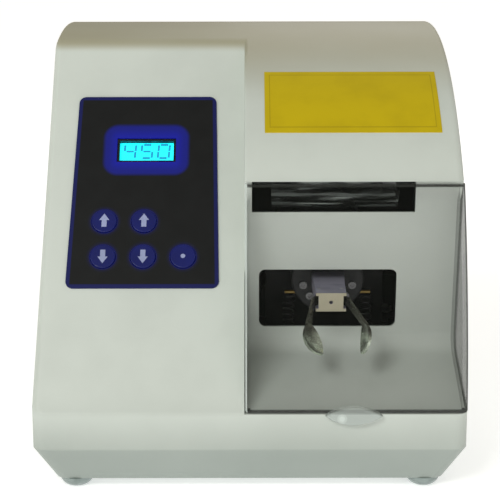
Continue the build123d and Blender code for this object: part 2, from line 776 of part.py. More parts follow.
# ================================================================ keypad and its board
with BuildPart() as keypad_overlay:
    with BuildSketch(console_plane()) as overlay_face:
        with BuildLine():
            Polyline(
                (overlay_centre_x - overlay_bottom_width / 2, overlay_bottom),
                (overlay_centre_x + overlay_bottom_width / 2, overlay_bottom),
                (overlay_centre_x + overlay_top_width / 2, overlay_top),
                (overlay_centre_x - overlay_top_width / 2, overlay_top),
                close=True,
            )
        make_face()
        fillet(overlay_face.vertices(), overlay_corner)
        with Locations(*[(x, up) for x, up, _ in button_places]):
            Circle(button_radius + button_gap, mode=Mode.SUBTRACT)
        with Locations((overlay_centre_x, display_up_slope)):
            Rectangle(display_width, display_height, mode=Mode.SUBTRACT)
    extrude(amount=overlay_thickness)

keep(keypad_overlay, "keypad_overlay")

with BuildPart() as display_window:
    with BuildSketch(console_plane()):
        with Locations((overlay_centre_x, display_up_slope)):
            Rectangle(display_width - lip_gap, display_height - lip_gap)
    extrude(amount=overlay_thickness)

keep(display_window, "display_window")

flange_top = -wall - button_gap / 2
switch_top = switch_height + plunger_height - board_drop
for button_x, button_up, button_name in button_places:
    with BuildPart() as button:
        for start, end, radius in (
            (flange_top - button_flange, flange_top, button_radius + button_flange),
            (flange_top, overlay_thickness + button_proud, button_radius),
            (switch_top + button_travel + button_gap, flange_top - button_flange, button_stem_radius),
        ):
            with BuildSketch(console_plane(start)):
                with Locations((button_x, button_up)):
                    Circle(radius)
            extrude(amount=end - start)
        top_face = button.faces().sort_by(Axis((0, 0, 0), (0, -slope_sin, slope_cos)))[-1]
        fillet(top_face.edges(), button_proud / 2)
    keep(button, button_name)

with BuildPart() as key_switches:
    for size, bottom, top in (
        (switch_size, -board_drop, switch_height - board_drop),
        (None, switch_height - board_drop, switch_top),
    ):
        with BuildSketch(console_plane(bottom)):
            with Locations(*[(x, up) for x, up, _ in button_places]):
                if size:
                    Rectangle(size, size)
                else:
                    Circle(plunger_radius)
        extrude(amount=top - bottom)

keep(key_switches, "key_switches")

with BuildPart() as control_board:
    with BuildSketch(console_plane(-board_drop - board_thickness)):
        with Locations((overlay_centre_x, board_up_slope)):
            Rectangle(board_width, board_length)
        with Locations(*standoff_points):
            Circle(board_screw_radius + running_gap, mode=Mode.SUBTRACT)
    extrude(amount=board_thickness)

keep(control_board, "control_board")

board_screws = screws(
    console_plane(-board_drop - board_thickness),
    standoff_points,
    2 * board_screw_radius,
    board_screw_radius,
    board_screw_radius,
    board_screw_length,
)
keep(board_screws, "board_screws")

glass_top = -wall - running_gap
with BuildPart() as lcd_frame:
    with BuildSketch(console_plane(-board_drop)):
        with Locations((overlay_centre_x, display_up_slope)):
            Rectangle(display_width + 4 * lcd_rim, display_height + 4 * lcd_rim)
    extrude(amount=board_drop + glass_top)
    with BuildSketch(console_plane(glass_top - lcd_thickness)):
        with Locations((overlay_centre_x, display_up_slope)):
            Rectangle(display_width + 2 * lcd_rim, display_height + 2 * lcd_rim)
    extrude(amount=lcd_thickness, mode=Mode.SUBTRACT)

keep(lcd_frame, "lcd_frame")

with BuildPart() as lcd_glass:
    with BuildSketch(console_plane(glass_top - lcd_thickness)):
        with Locations((overlay_centre_x, display_up_slope)):
            Rectangle(display_width + 2 * lcd_rim - lip_gap, display_height + 2 * lcd_rim - lip_gap)
    extrude(amount=lcd_thickness)

keep(lcd_glass, "lcd_glass")

with BuildPart() as control_chips:
    for across, up, width, length in chip_places:
        with BuildSketch(console_plane(-board_drop - board_thickness)):
            with Locations((overlay_centre_x + across, board_up_slope + up)):
                Rectangle(width, length)
        extrude(amount=-chip_height)

keep(control_chips, "control_chips")

with BuildPart() as hood_label:
    with BuildSketch(side_plane(label_left)):
        with BuildLine():
            label_middle = (label_low + label_high) / 2
            low, middle, high = [
                [yz(depth, hood_height(depth, -lift)) for lift in (0.0, label_thickness)]
                for depth in (label_low, label_middle, label_high)
            ]
            ThreePointArc(low[0], middle[0], high[0])
            Line(high[0], high[1])
            ThreePointArc(high[1], middle[1], low[1])
            Line(low[1], low[0])
        make_face()
    extrude(amount=label_right - label_left)

keep(hood_label, "hood_label")

# ================================================================ sprung carriage
carriage_top = carriage_bottom + carriage_thickness
bumper_bottom = carriage_top + carriage_travel + post_gap
nut_bottom = bumper_bottom + bumper_height
anchor_x = (drive_x - centring_x, drive_x + centring_x)
anchor_point = arm_point(anchor_forward, 0, -anchor_drop)
hook_top = carriage_top + hook_height

with BuildPart() as carriage_plate:
    with BuildSketch(Plane.XY.offset(carriage_bottom)):
        with Locations((drive_x, y_at(carriage_middle))):
            RectangleRounded(carriage_width, carriage_back - carriage_front, carriage_corner)
        with Locations(*post_points):
            Circle(post_radius + post_gap, mode=Mode.SUBTRACT)
        with Locations(*transit_points):
            Circle(transit_radius, mode=Mode.SUBTRACT)
        with Locations(*bracket_points):
            Circle(small_screw_radius, mode=Mode.SUBTRACT)
    extrude(amount=carriage_thickness)
    with BuildSketch(Plane.XY.offset(carriage_top)):
        with Locations(*[(x, anchor_point.Y) for x in anchor_x]):
            Circle(hook_radius)
    extrude(amount=hook_height)

keep(carriage_plate, "carriage_plate")

with BuildPart() as isolator_posts:
    with BuildSketch(Plane.XY.offset(floor_height + wall)):
        with Locations(*post_points):
            Circle(post_radius)
    extrude(amount=nut_bottom + nut_height + post_gap - floor_height - wall)

keep(isolator_posts, "isolator_posts")

with BuildPart() as isolator_bumpers:
    with BuildSketch(Plane.XY.offset(bumper_bottom)):
        with Locations(*post_points):
            Circle(isolator_radius)
            Circle(post_radius, mode=Mode.SUBTRACT)
    extrude(amount=bumper_height)

keep(isolator_bumpers, "isolator_bumpers")

with BuildPart() as isolator_nuts:
    with BuildSketch(Plane.XY.offset(nut_bottom)):
        with Locations(*post_points):
            RegularPolygon(nut_radius, 6)
            Circle(post_radius, mode=Mode.SUBTRACT)
    extrude(amount=nut_height)

keep(isolator_nuts, "isolator_nuts")


def coil_springs(feet, direction, height, radius, wire, turns):
    """Coil springs standing on their feet, whose wire stays within a height along a direction."""
    with BuildPart() as builder:
        for foot in feet:
            rise = height - wire
            with BuildLine():
                start = Vector(*foot) + Vector(*direction) * (wire / 2)
                coil = Helix(rise / turns, rise, radius, center=start, direction=direction)
            with BuildSketch(Plane(origin=coil @ 0, z_dir=coil % 0)):
                Circle(wire / 2)
            sweep(path=coil)
    return builder


isolator_springs = coil_springs(
    [(x, y, power_board_height) for x, y in post_points],
    (0, 0, 1),
    carriage_bottom - power_board_height,
    isolator_radius,
    spring_wire,
    spring_turns,
)
keep(isolator_springs, "isolator_springs")

centring_springs = coil_springs(
    [(x, anchor_point.Y, hook_top) for x in anchor_x],
    (0, 0, 1),
    anchor_point.Z - anchor_radius - hook_top,
    centring_radius,
    centring_wire,
    centring_turns,
)
keep(centring_springs, "centring_springs")

# ================================================================ motor and drive
bracket_top = drive_height + bracket_width / 2
can_front = bracket_depth + bracket_thickness
can_back = can_front + motor_length
cap_back = can_back + motor_cap_length
shaft_bore = shaft_radius + running_gap


def motor_turn(start, end, radius, builder_mode=Mode.ADD):
    """A round step of the motor between two depths, on its axis."""
    with BuildSketch(rear_plane(start)) as disc:
        with Locations((-drive_x, drive_height)):
            Circle(radius)
    extrude(disc.sketch, amount=end - start, mode=builder_mode)


with BuildPart() as motor_bracket:
    with BuildSketch(rear_plane(bracket_depth)):
        with Locations((-drive_x, drive_height)):
            Circle(bracket_width / 2)
            Rectangle(bracket_width, drive_height - carriage_top, align=(Align.CENTER, Align.MAX))
            Circle(motor_boss_radius, mode=Mode.SUBTRACT)
            with PolarLocations(motor_screw_circle, 4, start_angle=45):
                Circle(small_screw_radius, mode=Mode.SUBTRACT)
    extrude(amount=bracket_thickness)
    with BuildSketch(Plane.XY.offset(carriage_top)):
        with Locations((drive_x, y_at(bracket_depth))):
            Rectangle(bracket_width, bracket_foot, align=(Align.CENTER, Align.MIN))
        with Locations(*bracket_points):
            Circle(small_screw_radius, mode=Mode.SUBTRACT)
    extrude(amount=bracket_thickness)

keep(motor_bracket, "motor_bracket")

bracket_screws = screws(
    Plane(origin=(0, 0, carriage_top + bracket_thickness), x_dir=(1, 0, 0), z_dir=(0, 0, -1)),
    [(x, -y) for x, y in bracket_points],
    small_head_radius,
    small_head_height,
    small_screw_radius,
    bracket_thickness + carriage_thickness,
)
keep(bracket_screws, "bracket_screws")

with BuildPart() as motor_can:
    with BuildSketch(rear_plane(can_front)):
        with Locations((-drive_x, drive_height)):
            Circle(motor_radius)
    extrude(amount=motor_length)
    with BuildSketch(rear_plane(can_front - motor_boss_length)):
        with Locations((-drive_x, drive_height)):
            Circle(motor_boss_radius)
    extrude(amount=motor_boss_length)
    with BuildSketch(rear_plane(can_front + motor_wall)):
        with Locations((-drive_x, drive_height)):
            Circle(motor_radius - motor_wall)
    extrude(amount=motor_length, mode=Mode.SUBTRACT)
    with BuildSketch(rear_plane(can_front - motor_boss_length)):
        with Locations((-drive_x, drive_height)):
            Circle(shaft_bore)
            with PolarLocations(motor_screw_circle, 4, start_angle=45):
                Circle(small_screw_radius)
    extrude(amount=motor_length, mode=Mode.SUBTRACT)

keep(motor_can, "motor_can")

motor_screws = screws(
    rear_plane(bracket_depth),
    [
        (
            motor_screw_circle * cos(radians(angle)) - drive_x,
            motor_screw_circle * sin(radians(angle)) + drive_height,
        )
        for angle in (90 * step + 45 for step in range(4))
    ],
    small_head_radius,
    small_head_height,
    small_screw_radius,
    bracket_thickness + motor_wall,
)
keep(motor_screws, "motor_screws")

with BuildPart() as motor_cap:
    for start, end, radius in (
        (can_back, cap_back, motor_radius),
        (can_back - motor_wall, can_back, motor_radius - motor_wall - lip_gap),
    ):
        with BuildSketch(rear_plane(start)):
            with Locations((-drive_x, drive_height)):
                Circle(radius)
        extrude(amount=end - start)
    with BuildSketch(rear_plane(can_back - motor_wall)):
        with Locations((-drive_x, drive_height)):
            Circle(shaft_bore)
    extrude(amount=motor_cap_length, mode=Mode.SUBTRACT)
    fillet(motor_cap.faces().sort_by(Axis.Y)[-1].edges(), motor_wall)

keep(motor_cap, "motor_cap")

hub_front = wobble_depth + journal_radius * tilt_sin + journal_length / 2 * tilt_cos - running_gap
shaft_front = hub_front + running_gap * 10
with BuildPart() as drive_hub:
    with BuildSketch(rear_plane(hub_front - journal_radius * tilt_sin * 2)):
        with Locations((-drive_x, drive_height)):
            Circle(shaft_radius + wall / 2)
    extrude(amount=journal_radius * tilt_sin * 2)
    with BuildSketch(rear_plane(hub_front)):
        with Locations((-drive_x, drive_height)):
            Circle(hub_radius)
    extrude(amount=hub_length)
    with BuildSketch(arm_plane(-journal_length / 2)):
        Circle(journal_radius)
    extrude(amount=journal_length)
    with BuildSketch(rear_plane(shaft_front)):
        with Locations((-drive_x, drive_height)):
            Circle(shaft_radius)
    extrude(amount=motor_length, mode=Mode.SUBTRACT)

keep(drive_hub, "drive_hub")

with BuildPart() as motor_shaft:
    with BuildSketch(rear_plane(shaft_front)):
        with Locations((-drive_x, drive_height)):
            Circle(shaft_radius)
    extrude(amount=can_back + motor_cap_length - 2 * motor_wall - shaft_front)

keep(motor_shaft, "motor_shaft")

with BuildPart() as motor_armature:
    with BuildSketch(rear_plane(can_front + 3 * motor_wall)):
        with Locations((-drive_x, drive_height)):
            Circle(armature_radius)
            Circle(shaft_radius, mode=Mode.SUBTRACT)
            with PolarLocations(armature_radius, armature_slots):
                Rectangle(2 * armature_slot, armature_slot, mode=Mode.SUBTRACT)
    extrude(amount=motor_length - 8 * motor_wall)

keep(motor_armature, "motor_armature")

# ================================================================ swing arm, journal bearing and head
race = (bearing_radius - journal_radius - swing_room) / 3
roller_circle = (bearing_radius + journal_radius + swing_room) / 2
with BuildPart() as journal_bearing:
    with BuildSketch(arm_plane(-bearing_width / 2)):
        Circle(bearing_radius)
        Circle(bearing_radius - race, mode=Mode.SUBTRACT)
        Circle(bearing_radius - 2 * race)
        Circle(bearing_radius - 3 * race, mode=Mode.SUBTRACT)
        with PolarLocations(roller_circle, roller_count):
            Circle(race / 2 + running_gap)
    extrude(amount=bearing_width)

keep(journal_bearing, "journal_bearing")

head_back = head_front - head_length
drum_screw_points = [
    (drum_screw_circle * cos(radians(angle)), drum_screw_circle * sin(radians(angle)))
    for angle in drum_screw_angles
]
with BuildPart() as swing_arm:
    with BuildSketch(arm_plane(-bearing_width / 2)):
        Circle(drum_radius)
    extrude(amount=drum_front + bearing_width / 2)
    fillet(swing_arm.faces().sort_by(Axis.Y)[0].edges(), drum_rounding)
    with BuildSketch(arm_plane(-bearing_width / 2)):
        Circle(bearing_radius)
    extrude(amount=drum_front + bearing_width / 2 - drum_face, mode=Mode.SUBTRACT)
    with BuildSketch(arm_plane(drum_front)):
        Rectangle(arm_root_width, arm_height)
    with BuildSketch(arm_plane(head_back)):
        Rectangle(arm_width, arm_height)
    loft()
    for side in (-1, 1):
        with BuildSketch(side_plane(drive_x + side * anchor_seat)):
            with Locations((anchor_point.Y, anchor_point.Z)):
                Circle(anchor_radius)
        extrude(amount=side * (anchor_reach - anchor_seat), mode=Mode.SUBTRACT)
    with BuildSketch(arm_plane(drum_front - drum_screw_grip)):
        with Locations(*drum_screw_points):
            Circle(drum_screw_radius / 2)
    extrude(amount=drum_screw_grip, mode=Mode.SUBTRACT)

keep(swing_arm, "swing_arm")

drum_screws = screws(
    -arm_plane(drum_front),
    [(across, -up) for across, up in drum_screw_points],
    drum_screw_radius,
    drum_screw_head,
    drum_screw_radius / 2,
    drum_screw_grip,
)
keep(drum_screws, "drum_screws")

with BuildPart() as spring_anchors:
    for side in (-1, 1):
        with BuildSketch(side_plane(drive_x + side * anchor_seat)):
            with Locations((anchor_point.Y, anchor_point.Z)):
                Circle(anchor_radius)
        extrude(amount=side * (anchor_reach - anchor_seat))

keep(spring_anchors, "spring_anchors")

pivot_forward = head_front - finger_pivot_back
channel_width = (arm_width - head_web_width) / 2
channel_height = head_height - 2 * head_flange
with BuildPart() as capsule_head:
    with BuildSketch(arm_plane(head_back)):
        Rectangle(arm_width, head_height)
        with Locations(*[(side * (arm_width - channel_width) / 2, 0) for side in (-1, 1)]):
            Rectangle(channel_width, channel_height, mode=Mode.SUBTRACT)
    extrude(amount=head_length)
    with BuildSketch(arm_plane(head_front - head_nose_length)):
        Rectangle(head_nose_width, head_height)
    extrude(amount=head_nose_length)
    with BuildSketch(arm_plane(head_front - head_nose_length)):
        Circle(head_hole_radius)
    extrude(amount=head_nose_length, mode=Mode.SUBTRACT)
    with BuildSketch(arm_top_plane(-head_height / 2)):
        with Locations(*[(side * finger_pivot_x, -pivot_forward) for side in (-1, 1)]):
            Circle(finger_pin_radius)
    extrude(amount=head_height, mode=Mode.SUBTRACT)

keep(capsule_head, "capsule_head")

with BuildPart() as finger_pins:
    with BuildSketch(arm_top_plane(-head_height / 2)):
        with Locations(*[(side * finger_pivot_x, -pivot_forward) for side in (-1, 1)]):
            Circle(finger_pin_radius)
    extrude(amount=head_height)

keep(finger_pins, "finger_pins")

# ================================================================ spring fingers
root_low = -channel_height / 2 + finger_gap
root_high = root_low + finger_root_height
up_the_arm = arm_point(0, 0, 1) - arm_point(0, 0, 0)


def spring_finger(side, elbow, tip, twist):
    """A bent strip finger: an eye on its pin, a strip out past the head, and a hollow pointed pad."""
    pivot = (side * finger_pivot_x, -pivot_forward)
    knee = (side * (finger_pivot_x + knee_out), -pivot_forward - knee_forward)

    def spot(forward, outward, down):
        return arm_point(pivot_forward + forward, side * (finger_pivot_x + outward), -down)

    strip_middle = root_low + finger_strip / 2
    knee_point = spot(knee_forward, knee_out, -strip_middle)
    level_reach = spot(elbow[0], elbow[1], -strip_middle) - knee_point
    long_axis = (spot(*tip) - spot(*elbow)).normalized()
    middle = (spot(*tip) + spot(*elbow)) / 2
    inwards, forwards = spot(0, -1, 0) - spot(0, 0, 0), spot(1, 0, 0) - spot(0, 0, 0)
    facing = inwards * cos(radians(twist)) + forwards * sin(radians(twist))
    facing = (facing - long_axis * facing.dot(long_axis)).normalized()
    pad_length = (spot(*tip) - spot(*elbow)).length
    neck_sin = pad_neck / (pad_bowl + finger_wall / 2)
    neck_cos = sqrt(1 - neck_sin**2)
    bowl_middle = middle + facing * pad_bowl
    neck_out = facing * neck_cos + long_axis * neck_sin
    neck = bowl_middle - neck_out * (pad_bowl + finger_wall / 2)
    with BuildPart() as pad:
        with BuildSketch(Plane(origin=middle, x_dir=long_axis, z_dir=facing)):
            with BuildLine():
                ends = ((-pad_length / 2, 0), (pad_length / 2, 0))
                ThreePointArc(ends[0], (0, pad_width / 2), ends[1])
                ThreePointArc(ends[1], (0, -pad_width / 2), ends[0])
            make_face()
        extrude(amount=pad_bowl / 2, both=True)
        with Locations(bowl_middle):
            Sphere(pad_bowl + finger_wall, mode=Mode.INTERSECT)
            Sphere(pad_bowl, mode=Mode.SUBTRACT)
    with BuildPart() as finger:
        with BuildSketch(arm_top_plane(root_low)):
            with BuildLine():
                Line(pivot, knee)
            trace(line_width=finger_wall)
            with Locations(knee):
                Circle(finger_wall / 2)
        extrude(amount=finger_strip)
        with BuildSketch(arm_top_plane(root_low)):
            with Locations(pivot):
                Circle(finger_root_radius)
        extrude(amount=finger_root_height)
        with BuildSketch(arm_top_plane(root_low)):
            with Locations(pivot):
                Circle(finger_pin_radius + running_gap)
        extrude(amount=finger_root_height, mode=Mode.SUBTRACT)
        with BuildSketch(Plane(origin=knee_point, x_dir=level_reach.cross(up_the_arm), z_dir=level_reach)):
            Rectangle(finger_wall, finger_strip)
        with BuildSketch(Plane(origin=neck, x_dir=neck_out, z_dir=neck_out.cross(long_axis.cross(neck_out)))):
            Rectangle(finger_wall, finger_strip)
        loft()
        add(pad.part)
    return finger


keep(spring_finger(-1, left_elbow, left_tip, left_twist), "left_finger")
keep(spring_finger(1, right_elbow, right_tip, right_twist), "right_finger")

finger_springs = coil_springs(
    [arm_point(pivot_forward, side * finger_pivot_x, root_high) for side in (-1, 1)],
    up_the_arm,
    channel_height / 2 - root_high,
    finger_spring_radius,
    finger_spring_wire,
    finger_spring_turns,
)
keep(finger_springs, "finger_springs")

# ================================================================ electronics in the base
board_top = power_board_height + board_thickness

with BuildPart() as power_board:
    with BuildSketch(Plane.XY.offset(power_board_height)):
        with Locations((power_board_x, y_at(power_board_depth))):
            Rectangle(power_board_width, power_board_length)
        with Locations(*power_post_points):
            Circle(board_screw_radius + running_gap, mode=Mode.SUBTRACT)
    extrude(amount=board_thickness)

keep(power_board, "power_board")

power_board_screws = screws(
    Plane(origin=(0, 0, board_top), x_dir=(1, 0, 0), z_dir=(0, 0, -1)),
    [(x, -y) for x, y in power_post_points],
    small_head_radius,
    small_head_height,
    board_screw_radius,
    board_screw_length,
)
keep(power_board_screws, "power_board_screws")

with BuildPart() as transformer:
    with BuildSketch(Plane.XY.offset(board_top)):
        with Locations((power_board_x, y_at(transformer_depth))):
            Rectangle(transformer_width, transformer_length - 2 * coil_inset)
    extrude(amount=transformer_height)
    with BuildSketch(Plane.XY.offset(board_top + coil_inset)):
        with Locations((power_board_x, y_at(transformer_depth))):
            RectangleRounded(transformer_width - 2 * coil_inset, transformer_length, coil_inset / 2)
    extrude(amount=transformer_height - 2 * coil_inset)

keep(transformer, "transformer")

with BuildPart() as capacitors:
    with BuildSketch(Plane.XY.offset(board_top)):
        with Locations((power_board_x, y_at(capacitor_depth))):
            with GridLocations(capacitor_pitch, 0, capacitor_count, 1):
                Circle(capacitor_radius)
    extrude(amount=capacitor_height)

keep(capacitors, "capacitors")

with BuildPart() as heat_sink:
    with BuildSketch(Plane.XY.offset(board_top)):
        with Locations((power_board_x, y_at(heat_sink_depth))):
            Rectangle(heat_sink_width, 2 * fin_thickness)
            with GridLocations((heat_sink_width - fin_thickness) / (fin_count - 1), 0, fin_count, 1):
                Rectangle(fin_thickness, heat_sink_length)
    extrude(amount=heat_sink_height)

keep(heat_sink, "heat_sink")

cable_top = console_plane(-board_drop - board_thickness).from_local_coords((0, ribbon_up_slope, 0))
cable_bend = console_plane(-board_drop - board_thickness - ribbon_lead).from_local_coords((0, ribbon_up_slope, 0))
with BuildPart() as ribbon_cable:
    with BuildSketch(side_plane(overlay_centre_x - ribbon_width / 2)):
        with BuildLine():
            FilletPolyline(
                (cable_top.Y, cable_top.Z),
                (cable_bend.Y, cable_bend.Z),
                yz(ribbon_depth, board_top + 2 * ribbon_lead),
                yz(ribbon_depth, board_top),
                radius=ribbon_bend,
            )
        trace(line_width=ribbon_thickness)
    extrude(amount=ribbon_width)

keep(ribbon_cable, "ribbon_cable")

# ================================================================ rear fittings
blade_points = [(-inlet_x, fitting_height + blade_drop / 2)] + [
    (side * blade_pitch - inlet_x, fitting_height - blade_drop / 2) for side in (-1, 1)
]
inlet_floor = case_depth + inlet_flange_thickness - inlet_recess

with BuildPart() as inlet_blades:
    with BuildSketch(rear_plane(case_depth - inlet_depth - blade_tab)):
        with Locations(*blade_points):
            Rectangle(blade_thickness, blade_width)
    extrude(amount=inlet_floor + blade_length - case_depth + inlet_depth + blade_tab)

keep(inlet_blades, "inlet_blades")

with BuildPart() as inlet_socket:
    with BuildSketch(rear_plane(case_depth)):
        with Locations((-inlet_x, fitting_height)):
            RectangleRounded(inlet_flange_width, inlet_flange_tall, corner_radius)
        with Locations(*[(-x, fitting_height) for x in inlet_screw_xs]):
            Circle(small_screw_radius, mode=Mode.SUBTRACT)
    extrude(amount=inlet_flange_thickness)
    with BuildSketch(rear_plane(case_depth - inlet_depth)):
        with Locations((-inlet_x, fitting_height)):
            Rectangle(inlet_width, inlet_tall)
    extrude(amount=inlet_depth)
    with BuildSketch(rear_plane(inlet_floor)):
        with Locations((-inlet_x, fitting_height)):
            Rectangle(inlet_width - 2 * inlet_wall, inlet_tall - 2 * inlet_wall)
    extrude(amount=inlet_recess, mode=Mode.SUBTRACT)
    add(inlet_blades.part, mode=Mode.SUBTRACT)

keep(inlet_socket, "inlet_socket")

inlet_screws = screws(
    -rear_plane(case_depth + inlet_flange_thickness),
    [(-x, -fitting_height) for x in inlet_screw_xs],
    small_head_radius,
    small_head_height,
    small_screw_radius,
    inlet_flange_thickness + 2 * wall - running_gap,
)
keep(inlet_screws, "inlet_screws")

with BuildPart() as rocker_frame:
    with BuildSketch(rear_plane(case_depth)):
        with Locations((-rocker_x, fitting_height)):
            Rectangle(rocker_hole_width + 2 * rocker_frame_rim, rocker_hole_tall + 2 * rocker_frame_rim)
    extrude(amount=rocker_frame_thickness)
    with BuildSketch(rear_plane(case_depth - rocker_frame_depth)):
        with Locations((-rocker_x, fitting_height)):
            Rectangle(rocker_hole_width, rocker_hole_tall)
    extrude(amount=rocker_frame_depth)
    with BuildSketch(rear_plane(case_depth - rocker_frame_depth + rocker_wall)):
        with Locations((-rocker_x, fitting_height)):
            Rectangle(rocker_width + 2 * rocker_gap, 2 * (rocker_radius + rocker_gap))
    extrude(amount=rocker_frame_depth + rocker_frame_thickness, mode=Mode.SUBTRACT)

keep(rocker_frame, "rocker_frame")

with BuildPart() as rocker_button:
    with BuildSketch(side_plane(rocker_x - rocker_width / 2)):
        with Locations(Location((*yz(case_depth - rocker_pivot_inset, fitting_height), 0), (0, 0, rocker_range / 2))):
            Circle(rocker_radius)
            with Locations((rocker_proud, 0)):
                Rectangle(rocker_radius, 2 * rocker_radius, align=(Align.MIN, Align.CENTER), mode=Mode.SUBTRACT)
    extrude(amount=rocker_width)

keep(rocker_button, "rocker_button")

with BuildPart() as fuse_holder:
    with BuildSketch(rear_plane(case_depth)):
        with Locations((-fuse_x, fitting_height)):
            Circle(fuse_flange_radius)
    extrude(amount=fuse_flange_thickness)
    with BuildSketch(rear_plane(case_depth - fuse_body_length)):
        with Locations((-fuse_x, fitting_height)):
            Circle(fuse_radius)
    extrude(amount=fuse_body_length)

keep(fuse_holder, "fuse_holder")

with BuildPart() as fuse_cap:
    with BuildSketch(rear_plane(case_depth + fuse_flange_thickness)):
        with Locations((-fuse_x, fitting_height)):
            Circle(fuse_cap_radius)
    extrude(amount=fuse_cap_length)
    with BuildSketch(rear_plane(case_depth + rear_reach - cap_slot_depth)):
        with Locations((-fuse_x, fitting_height)):
            Rectangle(2 * fuse_cap_radius, cap_slot_width)
    extrude(amount=cap_slot_depth, mode=Mode.SUBTRACT)

keep(fuse_cap, "fuse_cap")
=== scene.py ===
"""Dressed model of a bench mixer for dental capsules, on a pale floor in soft studio light.

Metres. The solids keep their shapes and take finishes here; the printed marks, the digits and the fine
ribs are added as pieces.
"""

from __future__ import annotations

import logging
import math
from dataclasses import dataclass, field
from enum import Enum
from typing import Any, Sequence

import bmesh
import bpy
from mathutils import Euler, Matrix, Vector
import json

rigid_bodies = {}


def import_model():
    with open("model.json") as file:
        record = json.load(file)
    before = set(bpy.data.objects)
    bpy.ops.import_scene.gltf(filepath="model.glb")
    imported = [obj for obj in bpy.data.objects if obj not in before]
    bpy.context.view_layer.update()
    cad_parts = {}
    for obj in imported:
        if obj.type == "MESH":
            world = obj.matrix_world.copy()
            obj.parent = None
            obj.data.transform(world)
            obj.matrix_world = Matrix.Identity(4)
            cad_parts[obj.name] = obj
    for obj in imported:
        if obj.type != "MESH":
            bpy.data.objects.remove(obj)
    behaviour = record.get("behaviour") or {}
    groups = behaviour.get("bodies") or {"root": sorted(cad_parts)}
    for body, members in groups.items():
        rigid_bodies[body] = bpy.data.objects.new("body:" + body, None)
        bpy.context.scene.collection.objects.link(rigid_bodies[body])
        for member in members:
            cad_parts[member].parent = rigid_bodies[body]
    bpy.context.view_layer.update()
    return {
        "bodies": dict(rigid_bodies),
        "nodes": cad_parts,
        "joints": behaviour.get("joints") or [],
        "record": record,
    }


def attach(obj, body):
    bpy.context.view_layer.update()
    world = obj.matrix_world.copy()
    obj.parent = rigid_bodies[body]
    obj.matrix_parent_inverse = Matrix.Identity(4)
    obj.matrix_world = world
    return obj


log = logging.getLogger("capsule_mixer")
Colour = tuple[float, float, float]


def srgb(red: int, green: int, blue: int) -> Colour:
    """Linear colour of three eight-bit display values.

    Args:
        red: red, 0 to 255.
        green: green, 0 to 255.
        blue: blue, 0 to 255.

    Returns:
        The linear colour.
    """
    parts = [value / 255 for value in (red, green, blue)]
    linear = [p / 12.92 if p <= 0.04045 else ((p + 0.055) / 1.055) ** 2.4 for p in parts]
    return (linear[0], linear[1], linear[2])


class Graph:
    """The node graph of one material."""

    def __init__(self, name: str) -> None:
        """Starts an empty material.

        Args:
            name: the material's name.
        """
        self.material = bpy.data.materials.new(name)
        self.material.use_nodes = True
        self.tree = self.material.node_tree
        self.tree.nodes.clear()
        self.output = self.tree.nodes.new("ShaderNodeOutputMaterial")

    def node(self, kind: str, settings: dict[str, Any] | None = None, sockets: dict[Any, Any] | None = None) -> Any:
        """Adds a node, its settings first and then its sockets.

        Args:
            kind: the node's type, without its "ShaderNode" start.
            settings: attributes of the node; "stops" fills a ramp with (position, colour) pairs.
            sockets: input name or number to a value, a Signal or an output socket.

        Returns:
            The new node.
        """
        made = self.tree.nodes.new("ShaderNode" + kind)
        for key, value in (settings or {}).items():
            if key == "stops":
                ramp = made.color_ramp
                while len(ramp.elements) < len(value):
                    ramp.elements.new(0.5)
                for element, (position, colour) in zip(ramp.elements, value):
                    element.position, element.color = position, (*colour, 1.0)
            else:
                setattr(made, key, value)
        for key, value in (sockets or {}).items():
            socket = made.inputs[key]
            if isinstance(value, Signal):
                self.tree.links.new(value.socket, socket)
            elif isinstance(value, bpy.types.NodeSocket):
                self.tree.links.new(value, socket)
            elif isinstance(value, tuple) and len(value) == 3 and socket.type == "RGBA":
                socket.default_value = (*value, 1.0)
            else:
                socket.default_value = value
        return made

    def place(self) -> "tuple[Signal, Signal, Signal]":
        """The three object coordinates, in metres."""
        coordinates = self.node("TexCoord").outputs["Object"]
        split = self.node("SeparateXYZ", sockets={0: coordinates})
        return tuple(Signal(self, split.outputs[axis]) for axis in range(3))  # type: ignore[return-value]

    def noise(self, scale: float, detail: float = 3.0, stretch: Colour = (1.0, 1.0, 1.0)) -> "Signal":
        """Noise over the object, 0 to 1.

        Args:
            scale: how many features fit in a metre.
            detail: how many finer layers it has.
            stretch: scale along each axis.

        Returns:
            The noise.
        """
        coordinates = self.node("TexCoord").outputs["Object"]
        mapped = self.node("Mapping", sockets={"Vector": coordinates, "Scale": Vector(stretch)})
        made = self.node("TexNoise", sockets={"Vector": mapped.outputs[0], "Scale": scale, "Detail": detail})
        return Signal(self, made.outputs[0])

    def blend(self, mask: "Signal", low: Any, high: Any) -> Any:
        """A colour that goes from low to high with the mask.

        Args:
            mask: 0 to 1.
            low: colour or colour socket at 0.
            high: colour or colour socket at 1.

        Returns:
            The colour's output socket.
        """
        made = self.node("Mix", {"data_type": "RGBA"}, {0: mask, 6: low, 7: high})
        return made.outputs[2]


